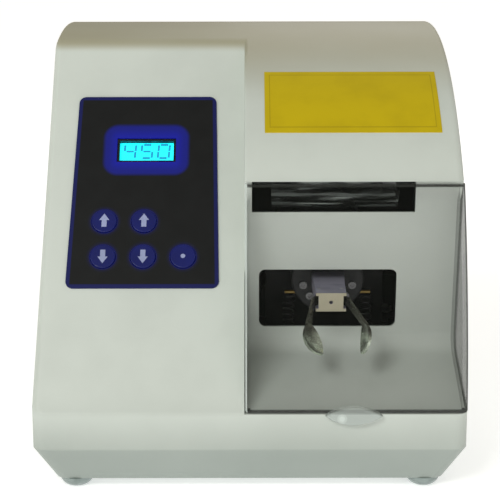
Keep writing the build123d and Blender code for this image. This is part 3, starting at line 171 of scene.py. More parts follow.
class Signal:
    """A number that changes over a surface, with arithmetic written as Python."""

    def __init__(self, graph: Graph, socket: Any) -> None:
        """Wraps a socket.

        Args:
            graph: the graph it belongs to.
            socket: the output socket.
        """
        self.graph, self.socket = graph, socket

    def _math(self, operation: str, *others: Any) -> "Signal":
        """A Math node on this signal and others."""
        sockets = {index: value for index, value in enumerate((self, *others))}
        made = self.graph.node("Math", {"operation": operation}, sockets)
        return Signal(self.graph, made.outputs[0])

    def __add__(self, other: Any) -> "Signal":
        """Sum."""
        return self._math("ADD", other)

    def __sub__(self, other: Any) -> "Signal":
        """Difference."""
        return self._math("SUBTRACT", other)

    def __rsub__(self, other: float) -> "Signal":
        """A number less this signal."""
        return self._math("MULTIPLY", -1.0)._math("ADD", other)

    def __mul__(self, other: Any) -> "Signal":
        """Product."""
        return self._math("MULTIPLY", other)

    __radd__ = __add__
    __rmul__ = __mul__

    def __abs__(self) -> "Signal":
        """Size without sign."""
        return self._math("ABSOLUTE")

    def smaller(self, other: Any) -> "Signal":
        """The smaller of the two."""
        return self._math("MINIMUM", other)

    def larger(self, other: Any) -> "Signal":
        """The larger of the two."""
        return self._math("MAXIMUM", other)

    def rise(self, start: float, end: float) -> "Signal":
        """0 before start and 1 after end, smooth between.

        Args:
            start: value where it leaves 0.
            end: value where it reaches 1.

        Returns:
            The mask.
        """
        made = self.graph.node(
            "MapRange", {"interpolation_type": "SMOOTHSTEP"}, {"Value": self, "From Min": start, "From Max": end}
        )
        return Signal(self.graph, made.outputs[0])

    def fall(self, start: float, end: float) -> "Signal":
        """1 before start and 0 after end, smooth between."""
        return 1 - self.rise(start, end)


def distance(graph: Graph, across: Signal, up: Signal, x: float, y: float) -> Signal:
    """Distance from a point of a flat face.

    Args:
        graph: the material's graph.
        across: coordinate across the face.
        up: coordinate up the face.
        x: the point's place across.
        y: the point's place up.

    Returns:
        The distance in metres.
    """
    square = (across - x) * (across - x) + (up - y) * (up - y)
    return square._math("SQRT")


@dataclass(frozen=True)
class Finish:
    """A plain finish: colour with mottling, roughness that varies, and a fine bump."""

    name: str
    colour: Colour
    second: Colour | None = None
    roughness: float = 0.5
    roughness_swing: float = 0.06
    metallic: float = 0.0
    mottle: float = 60.0
    grain: float = 2500.0
    bump: float = 0.06
    depth: float = 0.0002
    stretch: Colour = (1.0, 1.0, 1.0)
    coat: float = 0.0
    specular: float = 0.5

    def colours(self, graph: Graph) -> Any:
        """The colour over the surface."""
        second = self.second or tuple(part * 0.86 for part in self.colour)
        return graph.blend(graph.noise(self.mottle, 4.0).rise(0.35, 0.7), self.colour, second)

    def shader(self, graph: Graph, colour: Any, extra: dict[str, Any] | None = None) -> Any:
        """The main shader.

        Args:
            graph: the material's graph.
            colour: colour socket for Base Color.
            extra: more sockets of the shader.

        Returns:
            The shader node.
        """
        grain = graph.noise(self.grain, 2.0, self.stretch)
        bump = graph.node("Bump", sockets={"Strength": self.bump, "Distance": self.depth, "Height": grain})
        rough = grain * (2 * self.roughness_swing) + (self.roughness - self.roughness_swing)
        sockets = {
            "Base Color": colour,
            "Roughness": rough,
            "Metallic": self.metallic,
            "Coat Weight": self.coat,
            "Specular IOR Level": self.specular,
            "Normal": bump.outputs[0],
        }
        sockets.update(extra or {})
        return graph.node("BsdfPrincipled", sockets=sockets)

    def build(self) -> Any:
        """Makes the material."""
        graph = Graph(self.name)
        made = self.shader(graph, self.colours(graph))
        graph.tree.links.new(made.outputs[0], graph.output.inputs[0])
        return graph.material


@dataclass(frozen=True)
class CaseEnamel(Finish):
    """Pale grey-green paint outside, with painted warm shade on the hood's upward-facing top, painted shade low on the
    base, and painted black shade on the faces inside.
    """

    # Painted shade: warm darker colour of the hood's upward-facing top.
    top_shade: Colour = srgb(166, 160, 132)
    # Painted shade: darker colour of the base's downward-facing chamfer.
    underside_shade: Colour = srgb(128, 138, 134)
    # Painted shade: darker colour towards the bottom of the case.
    shade: Colour = srgb(150, 158, 152)
    half_width: float = 0.1
    front_y: float = -0.10675
    depth_of_case: float = 0.208
    arc_radius: float = 0.1769
    arc_depth: float = 0.170
    arc_height: float = 0.0301
    band: float = 0.039
    slope: float = math.radians(53.3)
    divide: float = -0.0024
    skin: float = 0.0013
    corner: float = 0.006

    def under_hood(self, graph: Graph) -> Signal:
        """Depth below the hood's curved surface."""
        _, back, height = graph.place()
        return self.arc_radius - distance(graph, back - self.front_y, height, self.arc_depth, self.arc_height)

    def inside(self, graph: Graph) -> Signal:
        """1 on the faces that look into the case, and 0 outside and in the chamber."""
        across, back, height = graph.place()
        depth = back - self.front_y
        taper = (0.022 - height).larger(0.0) * (9.3 / 17.3)
        side = self.half_width - taper - abs(across)
        end = depth.smaller(self.depth_of_case - depth) - taper
        round_x, round_y = (self.corner - side).larger(0.0), (self.corner - end).larger(0.0)
        shell = side.smaller(end).smaller(self.corner - distance(graph, round_x, round_y, 0.0, 0.0))
        shell = shell.smaller(self.under_hood(graph)).smaller(height - 0.0047)
        console = (depth * math.sin(self.slope) - (height - self.band) * math.cos(self.slope)).smaller(depth)
        wall = depth + height * (11.0 / 83.0) - (0.048 + 0.058 * 11.0 / 83.0)
        below = depth * (19.0 / 44.0) - height + (self.band - 0.004 * 19.0 / 44.0)
        lid = height - 0.141
        chamber = wall.larger(below).larger(lid).larger(self.divide - across)
        keypad_side = console.larger((across - self.divide - 0.0005) * 10.0)
        return shell.smaller(chamber).smaller(keypad_side).rise(self.skin, self.skin + 0.0002)

    def display_hole(self, graph: Graph) -> Signal:
        """1 on the sides of the display's hole, which get the painted black shade too."""
        face = KeypadFace()
        across, up = face.coordinates(graph)
        _, back, height = graph.place()
        below = (back - self.front_y) * math.sin(self.slope) - (height - self.band) * math.cos(self.slope)
        box = (abs(across - face.centre_x) - 0.0155).larger(abs(up - face.display_up) - 0.0085)
        return box.larger(below - 0.006).fall(0.0, 0.0003)

    def colours(self, graph: Graph) -> Any:
        """Paint, with painted warm shade on the hood's flat top, painted shade darker towards the bottom and on the
        chamfer of the base, and painted black shade inside.
        """
        base = Finish.colours(self, graph)
        _, _, height = graph.place()
        cloud = graph.noise(18.0, 5.0)
        # Painted shade on the hood's top: patchy, warm, and darker where the surface faces up.
        top = height.rise(0.172, 0.205) * (cloud * 0.3 + 0.75) * self.under_hood(graph).fall(0.0006, 0.004)
        top_shaded = graph.blend(top, base, self.top_shade)
        # Painted shade: darker towards the bottom of the case, patchy.
        low = height.fall(0.014, 0.05) * (cloud * 0.4 + 0.5)
        # Painted shade: the faces inside the case and the sides of the display's hole are painted near black, standing
        # for the darkness in there.
        dark = self.inside(graph).larger(self.display_hole(graph))
        low_shaded = graph.blend(low, top_shaded, self.shade)
        # Painted shade on the base's downward-facing chamfer.
        low_shaded = graph.blend(height.fall(0.0215, 0.0225) * 0.45, low_shaded, self.underside_shade)
        return graph.blend(dark, low_shaded, srgb(9, 9, 9))


@dataclass(frozen=True)
class TwoTone(Finish):
    """A finish that changes along the swing arm, such as a milled bar on a dark cast drum."""

    front: Colour = srgb(200, 200, 200)
    change: float = 0.016
    centre: tuple[float, float] = (-0.03275, 0.091)
    tilt: float = math.radians(8.0)

    def colours(self, graph: Graph) -> Any:
        """The front colour ahead of the change, the plain colour behind it."""
        _, back, height = graph.place()
        ahead = (back - self.centre[0]) * -math.cos(self.tilt) - (height - self.centre[1]) * math.sin(self.tilt)
        mask = ahead.rise(self.change, self.change + 0.0001)
        return graph.blend(mask, Finish.colours(self, graph), self.front)


@dataclass(frozen=True)
class PadSteel(Finish):
    """Bright stainless pads on darker stems."""

    stem: Colour = srgb(96, 96, 88)
    stem_from: float = 0.069

    def colours(self, graph: Graph) -> Any:
        """The pad's colour low down and the stem's above it."""
        _, _, height = graph.place()
        return graph.blend(height.rise(self.stem_from, self.stem_from + 0.005), Finish.colours(self, graph), self.stem)


@dataclass(frozen=True)
class ClearPane(Finish):
    """Thin clear plastic that shows nearly everything behind it."""

    clear: float = 0.02
    grazing: float = 0.2

    def build(self) -> Any:
        """Makes the material."""
        graph = Graph(self.name)
        facing = Signal(graph, graph.node("LayerWeight", sockets={"Blend": 0.35}).outputs["Facing"])
        alpha = facing.rise(0.5, 1.0) * self.grazing + self.clear
        made = self.shader(graph, self.colours(graph), {"Alpha": alpha})
        graph.tree.links.new(made.outputs[0], graph.output.inputs[0])
        return graph.material


@dataclass(frozen=True)
class ClearVisor(Finish):
    """Clear polished acrylic: nearly all of it shows through, the edges show as lines, and highlights are painted on
    the left edge, on the hinge arm in the slot and on the thumb grip.
    """

    clear: float = 0.1
    grazing: float = 0.6
    edge: float = 0.75
    sides: tuple[float, float] = (-0.0019, 0.0995)
    edge_width: float = 0.0009
    neck_y: float = -0.0715
    tab_y: float = -0.1062
    # Colour of the painted highlights.
    shine: Colour = srgb(205, 214, 210)

    def masks(self, graph: Graph) -> tuple[Signal, Signal, Signal]:
        """Painted highlights as masks: the left edge, streaks on the hinge arm in the slot, and the thumb grip with its
        glint.
        """
        across, back, height = graph.place()
        # Painted highlight: a pale strip along the visor's left edge.
        left = across.fall(self.sides[0] + 0.0008, self.sides[0] + 0.001)
        slot = back.rise(self.neck_y, self.neck_y + 0.001) * across.rise(0.005, 0.006) * across.fall(0.08, 0.081)
        # Painted highlight: pale streaks on the hinge arm seen in the slot.
        neck_highlight = slot * graph.noise(110.0, 2.0, (0.25, 1.0, 2.5)).rise(0.48, 0.62)
        # Painted highlight: a glint on the thumb grip.
        glint = distance(graph, across, height, 0.042, 0.038).fall(0.0008, 0.0026)
        # Painted sheen: the thumb grip is painted pale, brightest at the glint.
        tab_sheen = back.fall(self.tab_y - 0.0003, self.tab_y) * height.fall(0.048, 0.05) * (glint * 0.5 + 0.5)
        return left, neck_highlight, tab_sheen

    def colours(self, graph: Graph) -> Any:
        """Dark where light passes, with painted highlights on the left edge, the hinge arm in the slot and the thumb
        grip.
        """
        left, neck_highlight, tab_sheen = self.masks(graph)
        bright = left.larger(neck_highlight * 0.8).larger(tab_sheen * 1.6)
        return graph.blend(bright, Finish.colours(self, graph), self.shine)

    def build(self) -> Any:
        """Makes the material."""
        graph = Graph(self.name)
        across, _, height = graph.place()
        facing = Signal(graph, graph.node("LayerWeight", sockets={"Blend": 0.35}).outputs["Facing"])
        smear = graph.noise(35.0, 4.0).rise(0.5, 0.85) * 0.015
        left, right = across - self.sides[0], self.sides[1] - across
        rim = left.smaller(right).smaller(height - 0.0395)
        rim = rim.smaller(abs(height - 0.1395) + 0.0002)
        line = rim.fall(self.edge_width * 0.6, self.edge_width) * self.edge
        _, neck_highlight, tab_sheen = self.masks(graph)
        alpha = (facing.rise(0.5, 1.0) * (self.grazing - self.clear) + self.clear + smear).larger(line)
        # The painted highlights also make the hinge arm and the thumb grip less clear.
        alpha = alpha.larger(neck_highlight * 0.6).larger(tab_sheen * 0.9)
        made = self.shader(graph, self.colours(graph), {"Alpha": alpha})
        graph.tree.links.new(made.outputs[0], graph.output.inputs[0])
        return graph.material


@dataclass(frozen=True)
class KeypadFace:
    """Where the keypad's sloping face lies, in metres, and what is printed on it."""

    front_y: float = -0.10675
    band: float = 0.039
    slope: float = math.radians(53.3)
    centre_x: float = -0.051
    bottom: float = 0.0624
    top: float = 0.167
    bottom_width: float = 0.073
    top_width: float = 0.0688
    pitch_across: float = 0.0192
    pitch_up: float = 0.0188
    row: float = 0.0786
    display_up: float = 0.1367
    button_radius: float = 0.0061

    def buttons(self) -> list[tuple[str, float, float]]:
        """Node name, place across and place up the slope of each button."""
        left, middle, right = (self.centre_x + step * self.pitch_across for step in (-1, 0, 1))
        upper = self.row + self.pitch_up
        return [
            ("speed_up_button", left, upper),
            ("speed_down_button", left, self.row),
            ("time_up_button", middle, upper),
            ("time_down_button", middle, self.row),
            ("start_button", right, self.row),
        ]

    def matrix(self, x: float, up: float, lift: float) -> Matrix:
        """Places a flat drawing on the face.

        Args:
            x: place across.
            up: place up the slope.
            lift: height over the bare case.

        Returns:
            The placing matrix, with the drawing's Z out of the face.
        """
        along = Vector((0.0, math.cos(self.slope), math.sin(self.slope)))
        out = Vector((0.0, -math.sin(self.slope), math.cos(self.slope)))
        origin = Vector((x, self.front_y, self.band)) + along * up + out * lift
        return Matrix.Translation(origin) @ Euler((self.slope, 0.0, 0.0)).to_matrix().to_4x4()

    def coordinates(self, graph: Graph) -> tuple[Signal, Signal]:
        """Coordinates across and up the slope, as signals."""
        across, back, height = graph.place()
        up = (back - self.front_y) * math.cos(self.slope) + (height - self.band) * math.sin(self.slope)
        return across, up


@dataclass(frozen=True)
class KeypadFilm(Finish):
    """Charcoal film with a blue printed border and blue printed rings, and a faint painted blue glow round the buttons
    and round the display.
    """

    face: KeypadFace = KeypadFace()
    blue: Colour = srgb(17, 22, 84)
    border: float = 0.0019
    ring: float = 0.0004

    def build(self) -> Any:
        """Makes the material."""
        graph = Graph(self.name)
        face = self.face
        across, up = face.coordinates(graph)
        lean = (face.bottom_width - face.top_width) / 2 / (face.top - face.bottom)
        half = (up - face.bottom) * -lean + face.bottom_width / 2
        side = half - abs(across - face.centre_x)
        inside = side.smaller(up - face.bottom).smaller(face.top - up)
        edge = inside.fall(self.border - 0.00015, self.border + 0.00015)
        rings: Signal | None = None
        glow: Signal | None = None
        for _, x, height in face.buttons():
            away = distance(graph, across, up, x, height)
            ring = away.fall(face.button_radius + self.ring, face.button_radius + self.ring + 0.0002)
            # Painted glow: a faint blue light given off round each button.
            halo = away.fall(face.button_radius, face.button_radius + 0.0024) * 0.15
            rings = ring if rings is None else rings.larger(ring)
            glow = halo if glow is None else glow.larger(halo)
        assert rings is not None and glow is not None
        aside = (abs(across - face.centre_x) - 0.0138).larger(0.0)
        above = (abs(up - face.display_up) - 0.0068).larger(0.0)
        away = distance(graph, aside, above, 0.0, 0.0)
        panel = away.fall(0.0058, 0.0082)
        # Painted glow: blue light given off by the film round the display.
        glow = glow.larger(panel * 0.5 + away.fall(0.0, 0.0055) * 0.5)
        printed = graph.blend(edge.larger(rings).larger(panel), self.colours(graph), self.blue)
        light = graph.blend(glow, (0.0, 0.0, 0.0), srgb(0, 12, 176))
        made = self.shader(graph, printed, {"Emission Color": light, "Emission Strength": 0.5})
        graph.tree.links.new(made.outputs[0], graph.output.inputs[0])
        return graph.material


@dataclass(frozen=True)
class Lit(Finish):
    """A printed mark or display that gives off some light of its own."""

    strength: float = 0.6

    def build(self) -> Any:
        """Makes the material."""
        graph = Graph(self.name)
        colour = self.colours(graph)
        made = self.shader(graph, colour, {"Emission Color": colour, "Emission Strength": self.strength})
        graph.tree.links.new(made.outputs[0], graph.output.inputs[0])
        return graph.material


@dataclass(frozen=True)
class StudioFloor(Lit):
    """A plain pale floor that stays white far away, and throws less light up close to the mixer."""

    near: float = 0.75
    radius: float = 0.9

    def build(self) -> Any:
        """Makes the material."""
        graph = Graph(self.name)
        across, back, _ = graph.place()
        away = distance(graph, across, back, 0.0, 0.0).rise(0.2, self.radius)
        light = graph.blend(away, tuple(part * self.near for part in self.colour), self.colour)
        made = self.shader(graph, self.colours(graph), {"Emission Color": light, "Emission Strength": self.strength})
        graph.tree.links.new(made.outputs[0], graph.output.inputs[0])
        return graph.material


@dataclass(frozen=True)
class LabelFilm(Finish):
    """Yellow printed film with a thin darker line inside its edge, otherwise blank."""

    left: float = 0.0074
    right: float = 0.0914
    low_y: float = -0.05545
    high_y: float = -0.01925
    inset: float = 0.0022

    def colours(self, graph: Graph) -> Any:
        """Yellow with a ruled border."""
        base = Finish.colours(self, graph)
        across, back, _ = graph.place()
        middle, width = (self.left + self.right) / 2, self.right - self.left
        inside = (width / 2 - abs(across - middle)).smaller(back - self.low_y).smaller(self.high_y - back)
        line = inside.rise(self.inset, self.inset + 0.0001) * inside.fall(self.inset + 0.0005, self.inset + 0.0006)
        return graph.blend(line * 0.35, base, srgb(120, 102, 6))


class Look(Enum):
    """The finishes of the mixer's pieces."""

    CASE = CaseEnamel("case_enamel", srgb(206, 212, 206), srgb(200, 206, 200), 0.45, 0.05, 0, 26, 1500, 0.08, 0.0003)
    PAD = Finish("foot_pad", srgb(140, 152, 150), srgb(120, 132, 130), 0.15, 0.04, 0, 200, 1500, 0.05, coat=0.4)
    RUBBER = Finish("foot_rubber", srgb(40, 40, 40), None, 0.8, grain=1800, bump=0.3)
    SCREW = Finish("screw_steel", srgb(122, 122, 124), None, 0.3, 0.1, 1.0, 400, 5000, 0.1)
    VISOR = ClearVisor("clear_visor", srgb(34, 37, 34), None, 0.06, 0.02, 0, 20, 300, 0.02)
    PIN = Finish("pin_steel", srgb(176, 178, 182), None, 0.3, 0.08, 1.0, 150, 4000, 0.08, stretch=(0.2, 1, 1))
    MAGNET = Finish("magnet", srgb(190, 192, 196), None, 0.2, 0.04, 1.0)
    SENSOR = Finish("sensor_black", srgb(30, 30, 32), None, 0.6)
    FILM = KeypadFilm("keypad_film", srgb(17, 18, 19), srgb(13, 14, 15), 0.55, 0.05, 0, 90, 6000, 0.08, 0.0001, specular=0.2)
    # Painted glow: the blue buttons give off a faint light of their own, though they hold no lamp.
    BUTTON = Lit("button_blue", srgb(16, 24, 92), srgb(13, 20, 82), 0.3, 0.03, grain=6000, specular=0.25, strength=0.15)
    WINDOW = ClearPane("display_cover", srgb(60, 90, 110), None, 0.1, 0.03, 0, 40, 600, 0.02, specular=0.2)
    BLACK = Finish("switch_black", srgb(26, 26, 27), srgb(34, 34, 35), 0.5, 0.08, grain=2500, bump=0.12)
    BOARD = Finish("board_green", srgb(24, 84, 48), srgb(18, 70, 40), 0.4, mottle=220)
    DISPLAY = Lit("display_cyan", srgb(20, 240, 252), srgb(10, 232, 250), 0.5, strength=1.1)
    LABEL = LabelFilm("label_yellow", srgb(200, 176, 0), srgb(192, 168, 0), 0.7, 0.05, 0, 60, 3000, 0.05, specular=0.25)
    # Painted shade: the zinc plates inside the case are coloured dark to stand for the darkness there.
    ZINC = Finish("zinc_plate", srgb(58, 58, 60), srgb(46, 46, 48), 0.5, 0.1, 0.6, 120, 900, 0.1)
    SPRING = Finish("spring_steel", srgb(74, 74, 76), None, 0.4, 0.08, 1.0, 300, 4000)
    # Painted shade: the motor's zinc can is coloured darker to stand for the darkness inside the case.
    CAN = Finish("motor_zinc", srgb(92, 92, 94), None, 0.34, 0.1, 1.0, 50, 1500, 0.08, stretch=(1, 0.1, 1))
    HUB = Finish("hub_steel", srgb(140, 140, 142), None, 0.3, 0.1, 1.0, 100, 2500, 0.1)
    COPPER = Finish("winding_copper", srgb(176, 96, 52), srgb(140, 70, 36), 0.35, 0.1, 0.9, 150, 3000, 0.3)
    CAST = TwoTone("arm_cast", srgb(58, 58, 60), srgb(44, 44, 46), 0.55, 0.1, 0.3, 120, 1600, 0.25, 0.0003, front=srgb(168, 166, 184), change=0.0163)
    BRASS = Finish("anchor_brass", srgb(158, 134, 82), None, 0.32, 0.08, 1.0, 200, 3000)
    HEAD = TwoTone("head_plastic", srgb(152, 150, 168), srgb(132, 130, 148), 0.4, 0.06, 0.2, 120, 2500, 0.08, front=srgb(180, 174, 152), change=0.0463)
    FINGER = PadSteel("finger_steel", srgb(222, 232, 214), srgb(170, 178, 164), 0.26, 0.08, 0.78, 160, 1800, 0.12)
    IRON = Finish("transformer_iron", srgb(70, 68, 64), None, 0.5, 0.1, 0.6, 60, 1800, 0.2)
    SLEEVE = Finish("capacitor_sleeve", srgb(24, 26, 52), None, 0.3, 0.05)
    SINK = Finish("heat_sink_black", srgb(34, 34, 36), None, 0.45, 0.08, 0.7)
    RIBBON = Finish("ribbon_grey", srgb(160, 160, 158), srgb(130, 130, 130), 0.55, mottle=900, stretch=(1, 0.05, 0.05))
    ROCKER = Finish("rocker_black", srgb(22, 22, 23), None, 0.25, 0.05)
    MARK = Finish("mark_pale", srgb(152, 160, 200), None, 0.5)
    DIGIT = Lit("digit_teal", srgb(0, 150, 196), srgb(0, 140, 188), 0.5, strength=0.5)
    FLOOR = StudioFloor("studio_floor", srgb(252, 252, 252), srgb(250, 250, 250), 0.8, 0.03, 0, 3, 300, 0.02, strength=0.7)


class Wardrobe:
    """Makes each finish once and puts it on solids and pieces."""

    def __init__(self) -> None:
        """Starts with no material made."""
        self._made: dict[Look, Any] = {}

    def material(self, look: Look) -> Any:
        """The material of a look, made on first use."""
        if look not in self._made:
            self._made[look] = look.value.build()
        return self._made[look]

    def dress(self, frame: dict[str, Any]) -> None:
        """Puts on each solid the finish of its record slot.
        """
        by_slot = {look.value.name: look for look in Look}
        for part in frame["record"]["subparts"]:
            node, slot = part["node"], part["material_slot"]
            look = Look.WINDOW if node == "display_window" else by_slot[slot]
            solid = frame["nodes"][node]
            solid.data.materials.clear()
            solid.data.materials.append(self.material(look))
            log.info("dressed %s with %s", node, slot)


@dataclass
class Drawing:
    """Flat or solid pieces collected into one mesh, with normals outwards."""

    name: str
    mesh: Any = field(default_factory=bmesh.new)

    def plate(self, outline: Sequence[tuple[float, float]], place: Matrix, thickness: float) -> None:
        """Adds a thin plate with a straight-sided outline.

        Args:
            outline: points round it, anticlockwise.
            place: where its plane lies.
            thickness: how far it stands up from the plane.
        """
        made = bmesh.new()
        low = [made.verts.new((x, y, 0.0)) for x, y in outline]
        high = [made.verts.new((x, y, thickness)) for x, y in outline]
        made.faces.new(list(reversed(low)))
        made.faces.new(high)
        for index in range(len(outline)):
            after = (index + 1) % len(outline)
            made.faces.new((low[index], low[after], high[after], high[index]))
        bmesh.ops.transform(made, matrix=place, verts=made.verts)
        bmesh.ops.recalc_face_normals(made, faces=made.faces)
        loose = bpy.data.meshes.new("loose")
        made.to_mesh(loose)
        self.mesh.from_mesh(loose)
        made.free()
        bpy.data.meshes.remove(loose)

    def finish(self, material: Any, body: str) -> Any:
        """Makes the object, and lets it ride on its body.

        Args:
            material: its material.
            body: the CAD body it moves with.

        Returns:
            The object.
        """
        bmesh.ops.remove_doubles(self.mesh, verts=self.mesh.verts, dist=1e-7)
        data = bpy.data.meshes.new(self.name)
        self.mesh.to_mesh(data)
        self.mesh.free()
        data.materials.append(material)
        made = bpy.data.objects.new(self.name, data)
        bpy.context.scene.collection.objects.link(made)
        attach(made, body)
        log.info("made %s on %s", self.name, body)
        return made


def disc_outline(radius: float, corners: int = 40) -> list[tuple[float, float]]:
    """Points round a circle."""
    return [(radius * math.cos(math.tau * i / corners), radius * math.sin(math.tau * i / corners)) for i in range(corners)]


@dataclass
class Keypad:
    """The printed marks of the keypad and the digits of the display."""

    wardrobe: Wardrobe
    glass: Any
    face: KeypadFace = KeypadFace()
    button_top: float = 0.0017
    mark_thickness: float = 0.0001
    mark_radius: float = 0.0047
    dot_radius: float = 0.0011
    digit_height: float = 0.0074
    digit_width: float = 0.0054
    digit_pitch: float = 0.0084
    digit_stroke: float = 0.0014
    digit_lean: float = 0.08
    digit_lift: float = 0.0008
    reading: str = "450"

    SEGMENTS = {"0": "abcdef", "1": "bc", "2": "abged", "3": "abgcd", "4": "fgbc", "5": "afgcd"}

    def arrow(self, drawing: Drawing, place: Matrix, up: bool) -> None:
        """A plain arrow, pointing up or down the slope."""
        flip = 1.0 if up else -1.0
        size = self.mark_radius
        head = [(-0.52 * size, 0.06 * size), (0.52 * size, 0.06 * size), (0.0, 0.8 * size)]
        stem = [(-0.26 * size, -0.7 * size), (0.26 * size, -0.7 * size), (0.26 * size, 0.06 * size), (-0.26 * size, 0.06 * size)]
        for outline in (head, stem):
            drawing.plate([(x, y * flip) for x, y in outline], place, self.mark_thickness)

    def marks(self) -> None:
        """An arrow on each setting button, and a dot on the start button."""
        for node, x, up in self.face.buttons():
            mark = Drawing(node.replace("button", "mark"))
            place = self.face.matrix(x, up, self.button_top)
            if node == "start_button":
                mark.plate(disc_outline(self.dot_radius), place, self.mark_thickness)
            else:
                self.arrow(mark, place, "up" in node)
            mark.finish(self.wardrobe.material(Look.MARK), node)

    def digits(self) -> None:
        """Seven-segment digits on the display's glass."""
        half_w, half_h, stroke = self.digit_width / 2, self.digit_height / 2, self.digit_stroke
        across = (-half_w + stroke * 0.6, half_w - stroke * 0.6)
        places = {
            "a": (0.0, half_h, True), "g": (0.0, 0.0, True), "d": (0.0, -half_h, True),
            "b": (half_w, half_h / 2, False), "c": (half_w, -half_h / 2, False),
            "f": (-half_w, half_h / 2, False), "e": (-half_w, -half_h / 2, False),
        }
        drawing = Drawing("display_digits")
        glass = self.glass_top()
        for index, digit in enumerate(self.reading):
            shift = (index - (len(self.reading) - 1) / 2) * self.digit_pitch
            for name in self.SEGMENTS[digit]:
                x, y, flat = places[name]
                long = (across[1] if flat else half_h / 2 - stroke * 0.12)
                wide = stroke * 0.42
                if flat:
                    outline = [(-long, -wide), (long, -wide), (long, wide), (-long, wide)]
                else:
                    outline = [(-wide, -long), (wide, -long), (wide, long), (-wide, long)]
                leaned = [(px + x + shift + (py + y) * self.digit_lean, py + y) for px, py in outline]
                place = self.face.matrix(self.face.centre_x, self.face.display_up + self.digit_lift, glass)
                drawing.plate(leaned, place, self.mark_thickness)
        drawing.finish(self.wardrobe.material(Look.DIGIT), "case")

    def glass_top(self) -> float:
        """Height of the display glass over the bare case face, negative when it lies below."""
        out = Vector((0.0, -math.sin(self.face.slope), math.cos(self.face.slope)))
        base = Vector((0.0, self.face.front_y, self.face.band))
        return max((vertex.co - base).dot(out) for vertex in self.glass.data.vertices)

    def build(self) -> None:
        """Makes everything printed on the keypad."""
        self.marks()
        self.digits()


@dataclass
class FuseKnurl:
    """Fine ribs round the fuse cap, laid out by a geometry node tree."""

    wardrobe: Wardrobe
    count: int = 28
    radius: float = 0.006
    centre: tuple[float, float, float] = (0.012, 0.1067, 0.052)
    rib: tuple[float, float, float] = (0.0005, 0.0046, 0.0007)

    def tree(self) -> Any:
        """The node tree: ribs on a circle, with named inputs for count, radius and rib size."""
        tree = bpy.data.node_groups.new("knurl_ribs", "GeometryNodeTree")
        tree.interface.new_socket("Geometry", in_out="OUTPUT", socket_type="NodeSocketGeometry")
        tree.interface.new_socket("Rib count", in_out="INPUT", socket_type="NodeSocketInt")
        tree.interface.new_socket("Circle radius", in_out="INPUT", socket_type="NodeSocketFloat")
        tree.interface.new_socket("Rib size", in_out="INPUT", socket_type="NodeSocketVector")
        tree.interface.new_socket("Finish", in_out="INPUT", socket_type="NodeSocketMaterial")
        nodes, links = tree.nodes, tree.links
        given, result = nodes.new("NodeGroupInput"), nodes.new("NodeGroupOutput")
        circle = nodes.new("GeometryNodeMeshCircle")
        cube = nodes.new("GeometryNodeMeshCube")
        spread = nodes.new("GeometryNodeInstanceOnPoints")
        normal = nodes.new("GeometryNodeInputPosition")
        align = nodes.new("FunctionNodeAlignRotationToVector")
        align.axis = "X"
        real, paint = nodes.new("GeometryNodeRealizeInstances"), nodes.new("GeometryNodeSetMaterial")
        links.new(given.outputs["Rib count"], circle.inputs["Vertices"])
        links.new(given.outputs["Circle radius"], circle.inputs["Radius"])
        links.new(given.outputs["Rib size"], cube.inputs["Size"])
        links.new(circle.outputs["Mesh"], spread.inputs["Points"])
        links.new(cube.outputs["Mesh"], spread.inputs["Instance"])
        links.new(normal.outputs[0], align.inputs["Vector"])
        links.new(align.outputs[0], spread.inputs["Rotation"])
        links.new(spread.outputs[0], real.inputs[0])
        links.new(real.outputs[0], paint.inputs["Geometry"])
        links.new(given.outputs["Finish"], paint.inputs["Material"])
        links.new(paint.outputs[0], result.inputs[0])
        return tree

    def build(self) -> None:
        """Bakes the ribs into one plain mesh on the cap."""
        tree = self.tree()
        holder = bpy.data.objects.new("knurl_source", bpy.data.meshes.new("knurl_source"))
        bpy.context.scene.collection.objects.link(holder)
        modifier = holder.modifiers.new("ribs", "NODES")
        modifier.node_group = tree
        material = self.wardrobe.material(Look.BLACK)
        values = {"Rib count": self.count, "Circle radius": self.radius, "Rib size": (self.rib[0], self.rib[2], self.rib[1]), "Finish": material}
        for item in tree.interface.items_tree:
            if item.in_out == "INPUT":
                modifier[item.identifier] = values[item.name]
        baked = bpy.data.meshes.new_from_object(holder.evaluated_get(bpy.context.evaluated_depsgraph_get()))
        baked.transform(Matrix.Translation(self.centre) @ Matrix.Rotation(math.pi / 2, 4, "X"))
        bpy.data.objects.remove(holder)
        made = bpy.data.objects.new("fuse_cap_knurl", baked)
        bpy.context.scene.collection.objects.link(made)
        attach(made, "case")
        log.info("made fuse_cap_knurl with %d faces", len(baked.polygons))


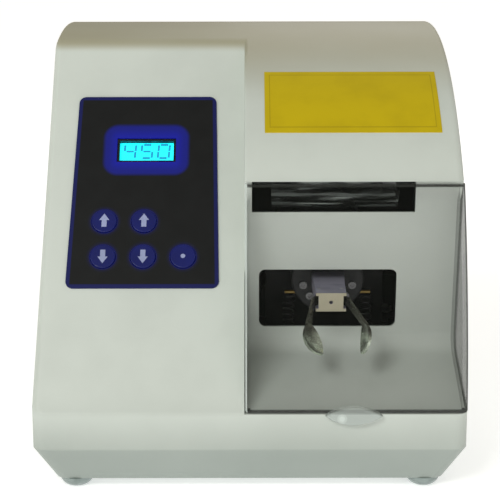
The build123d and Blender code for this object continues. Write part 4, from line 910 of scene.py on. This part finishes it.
@dataclass
class Studio:
    """Camera, lights and floor."""

    wardrobe: Wardrobe
    camera_place: tuple[float, float, float] = (0.0012, -0.71425, 0.2478)
    pitch: float = 0.214
    yaw: float = 0.001
    roll: float = 0.002
    lens: float = 100.8

    def camera(self) -> None:
        """The photograph's viewpoint."""
        data = bpy.data.cameras.new("studio_camera")
        data.lens, data.sensor_width = self.lens, 36.0
        data.clip_start = 0.01
        made = bpy.data.objects.new("studio_camera", data)
        made.location = self.camera_place
        made.rotation_euler = Euler((math.pi / 2 - self.pitch, self.roll, self.yaw))
        bpy.context.scene.collection.objects.link(made)
        bpy.context.scene.camera = made

    def lamp(self, name: str, place: Sequence[float], aim: Sequence[float], size: float, power: float, colour: Colour) -> None:
        """Adds a soft square light.

        Args:
            name: its name.
            place: where it stands.
            aim: the point it faces.
            size: side of the square.
            power: watts.
            colour: its linear colour.
        """
        data = bpy.data.lights.new(name, "AREA")
        data.size, data.energy, data.color = size, power, colour
        made = bpy.data.objects.new(name, data)
        made.location = place
        made.rotation_euler = (Vector(aim) - Vector(place)).to_track_quat("-Z", "Y").to_euler()
        bpy.context.scene.collection.objects.link(made)

    def floor(self) -> None:
        """A plain pale floor."""
        drawing = bmesh.new()
        bmesh.ops.create_grid(drawing, x_segments=1, y_segments=1, size=12.0)
        data = bpy.data.meshes.new("studio_floor")
        drawing.to_mesh(data)
        drawing.free()
        data.materials.append(self.wardrobe.material(Look.FLOOR))
        made = bpy.data.objects.new("studio_floor", data)
        bpy.context.scene.collection.objects.link(made)

    def build(self) -> None:
        """Sets up the whole studio."""
        self.camera()
        self.floor()
        self.lamp("key_light", (-0.56, -1.2, 1.0), (0.0, 0.0, 0.1), 0.5, 9.5, (0.97, 1.0, 0.96))
        self.lamp("fill_light", (0.7, -1.3, 0.5), (0.0, 0.0, 0.1), 0.9, 1.2, (0.95, 1.0, 1.0))
        self.lamp("rear_light", (0.3, 1.1, 0.9), (0.0, 0.0, 0.1), 0.8, 2.5, (1.0, 1.0, 1.0))
        world = bpy.data.worlds.new("studio_air")
        world.use_nodes = True
        background = world.node_tree.nodes["Background"]
        background.inputs[0].default_value = (1.0, 0.96, 0.86, 1.0)
        background.inputs[1].default_value = 0.38
        bpy.context.scene.world = world
        bpy.context.scene.view_settings.view_transform = "Standard"


def write_size() -> None:
    """Imports json and does nothing else.
    """
    import json


def main() -> None:
    """Builds the dressed mixer and its studio."""
    logging.basicConfig(level=logging.INFO)
    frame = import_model()
    wardrobe = Wardrobe()
    wardrobe.dress(frame)
    Keypad(wardrobe, frame["nodes"]["lcd_glass"]).build()
    FuseKnurl(wardrobe).build()
    Studio(wardrobe).build()
    write_size()


if __name__ == "__main__":
    main()
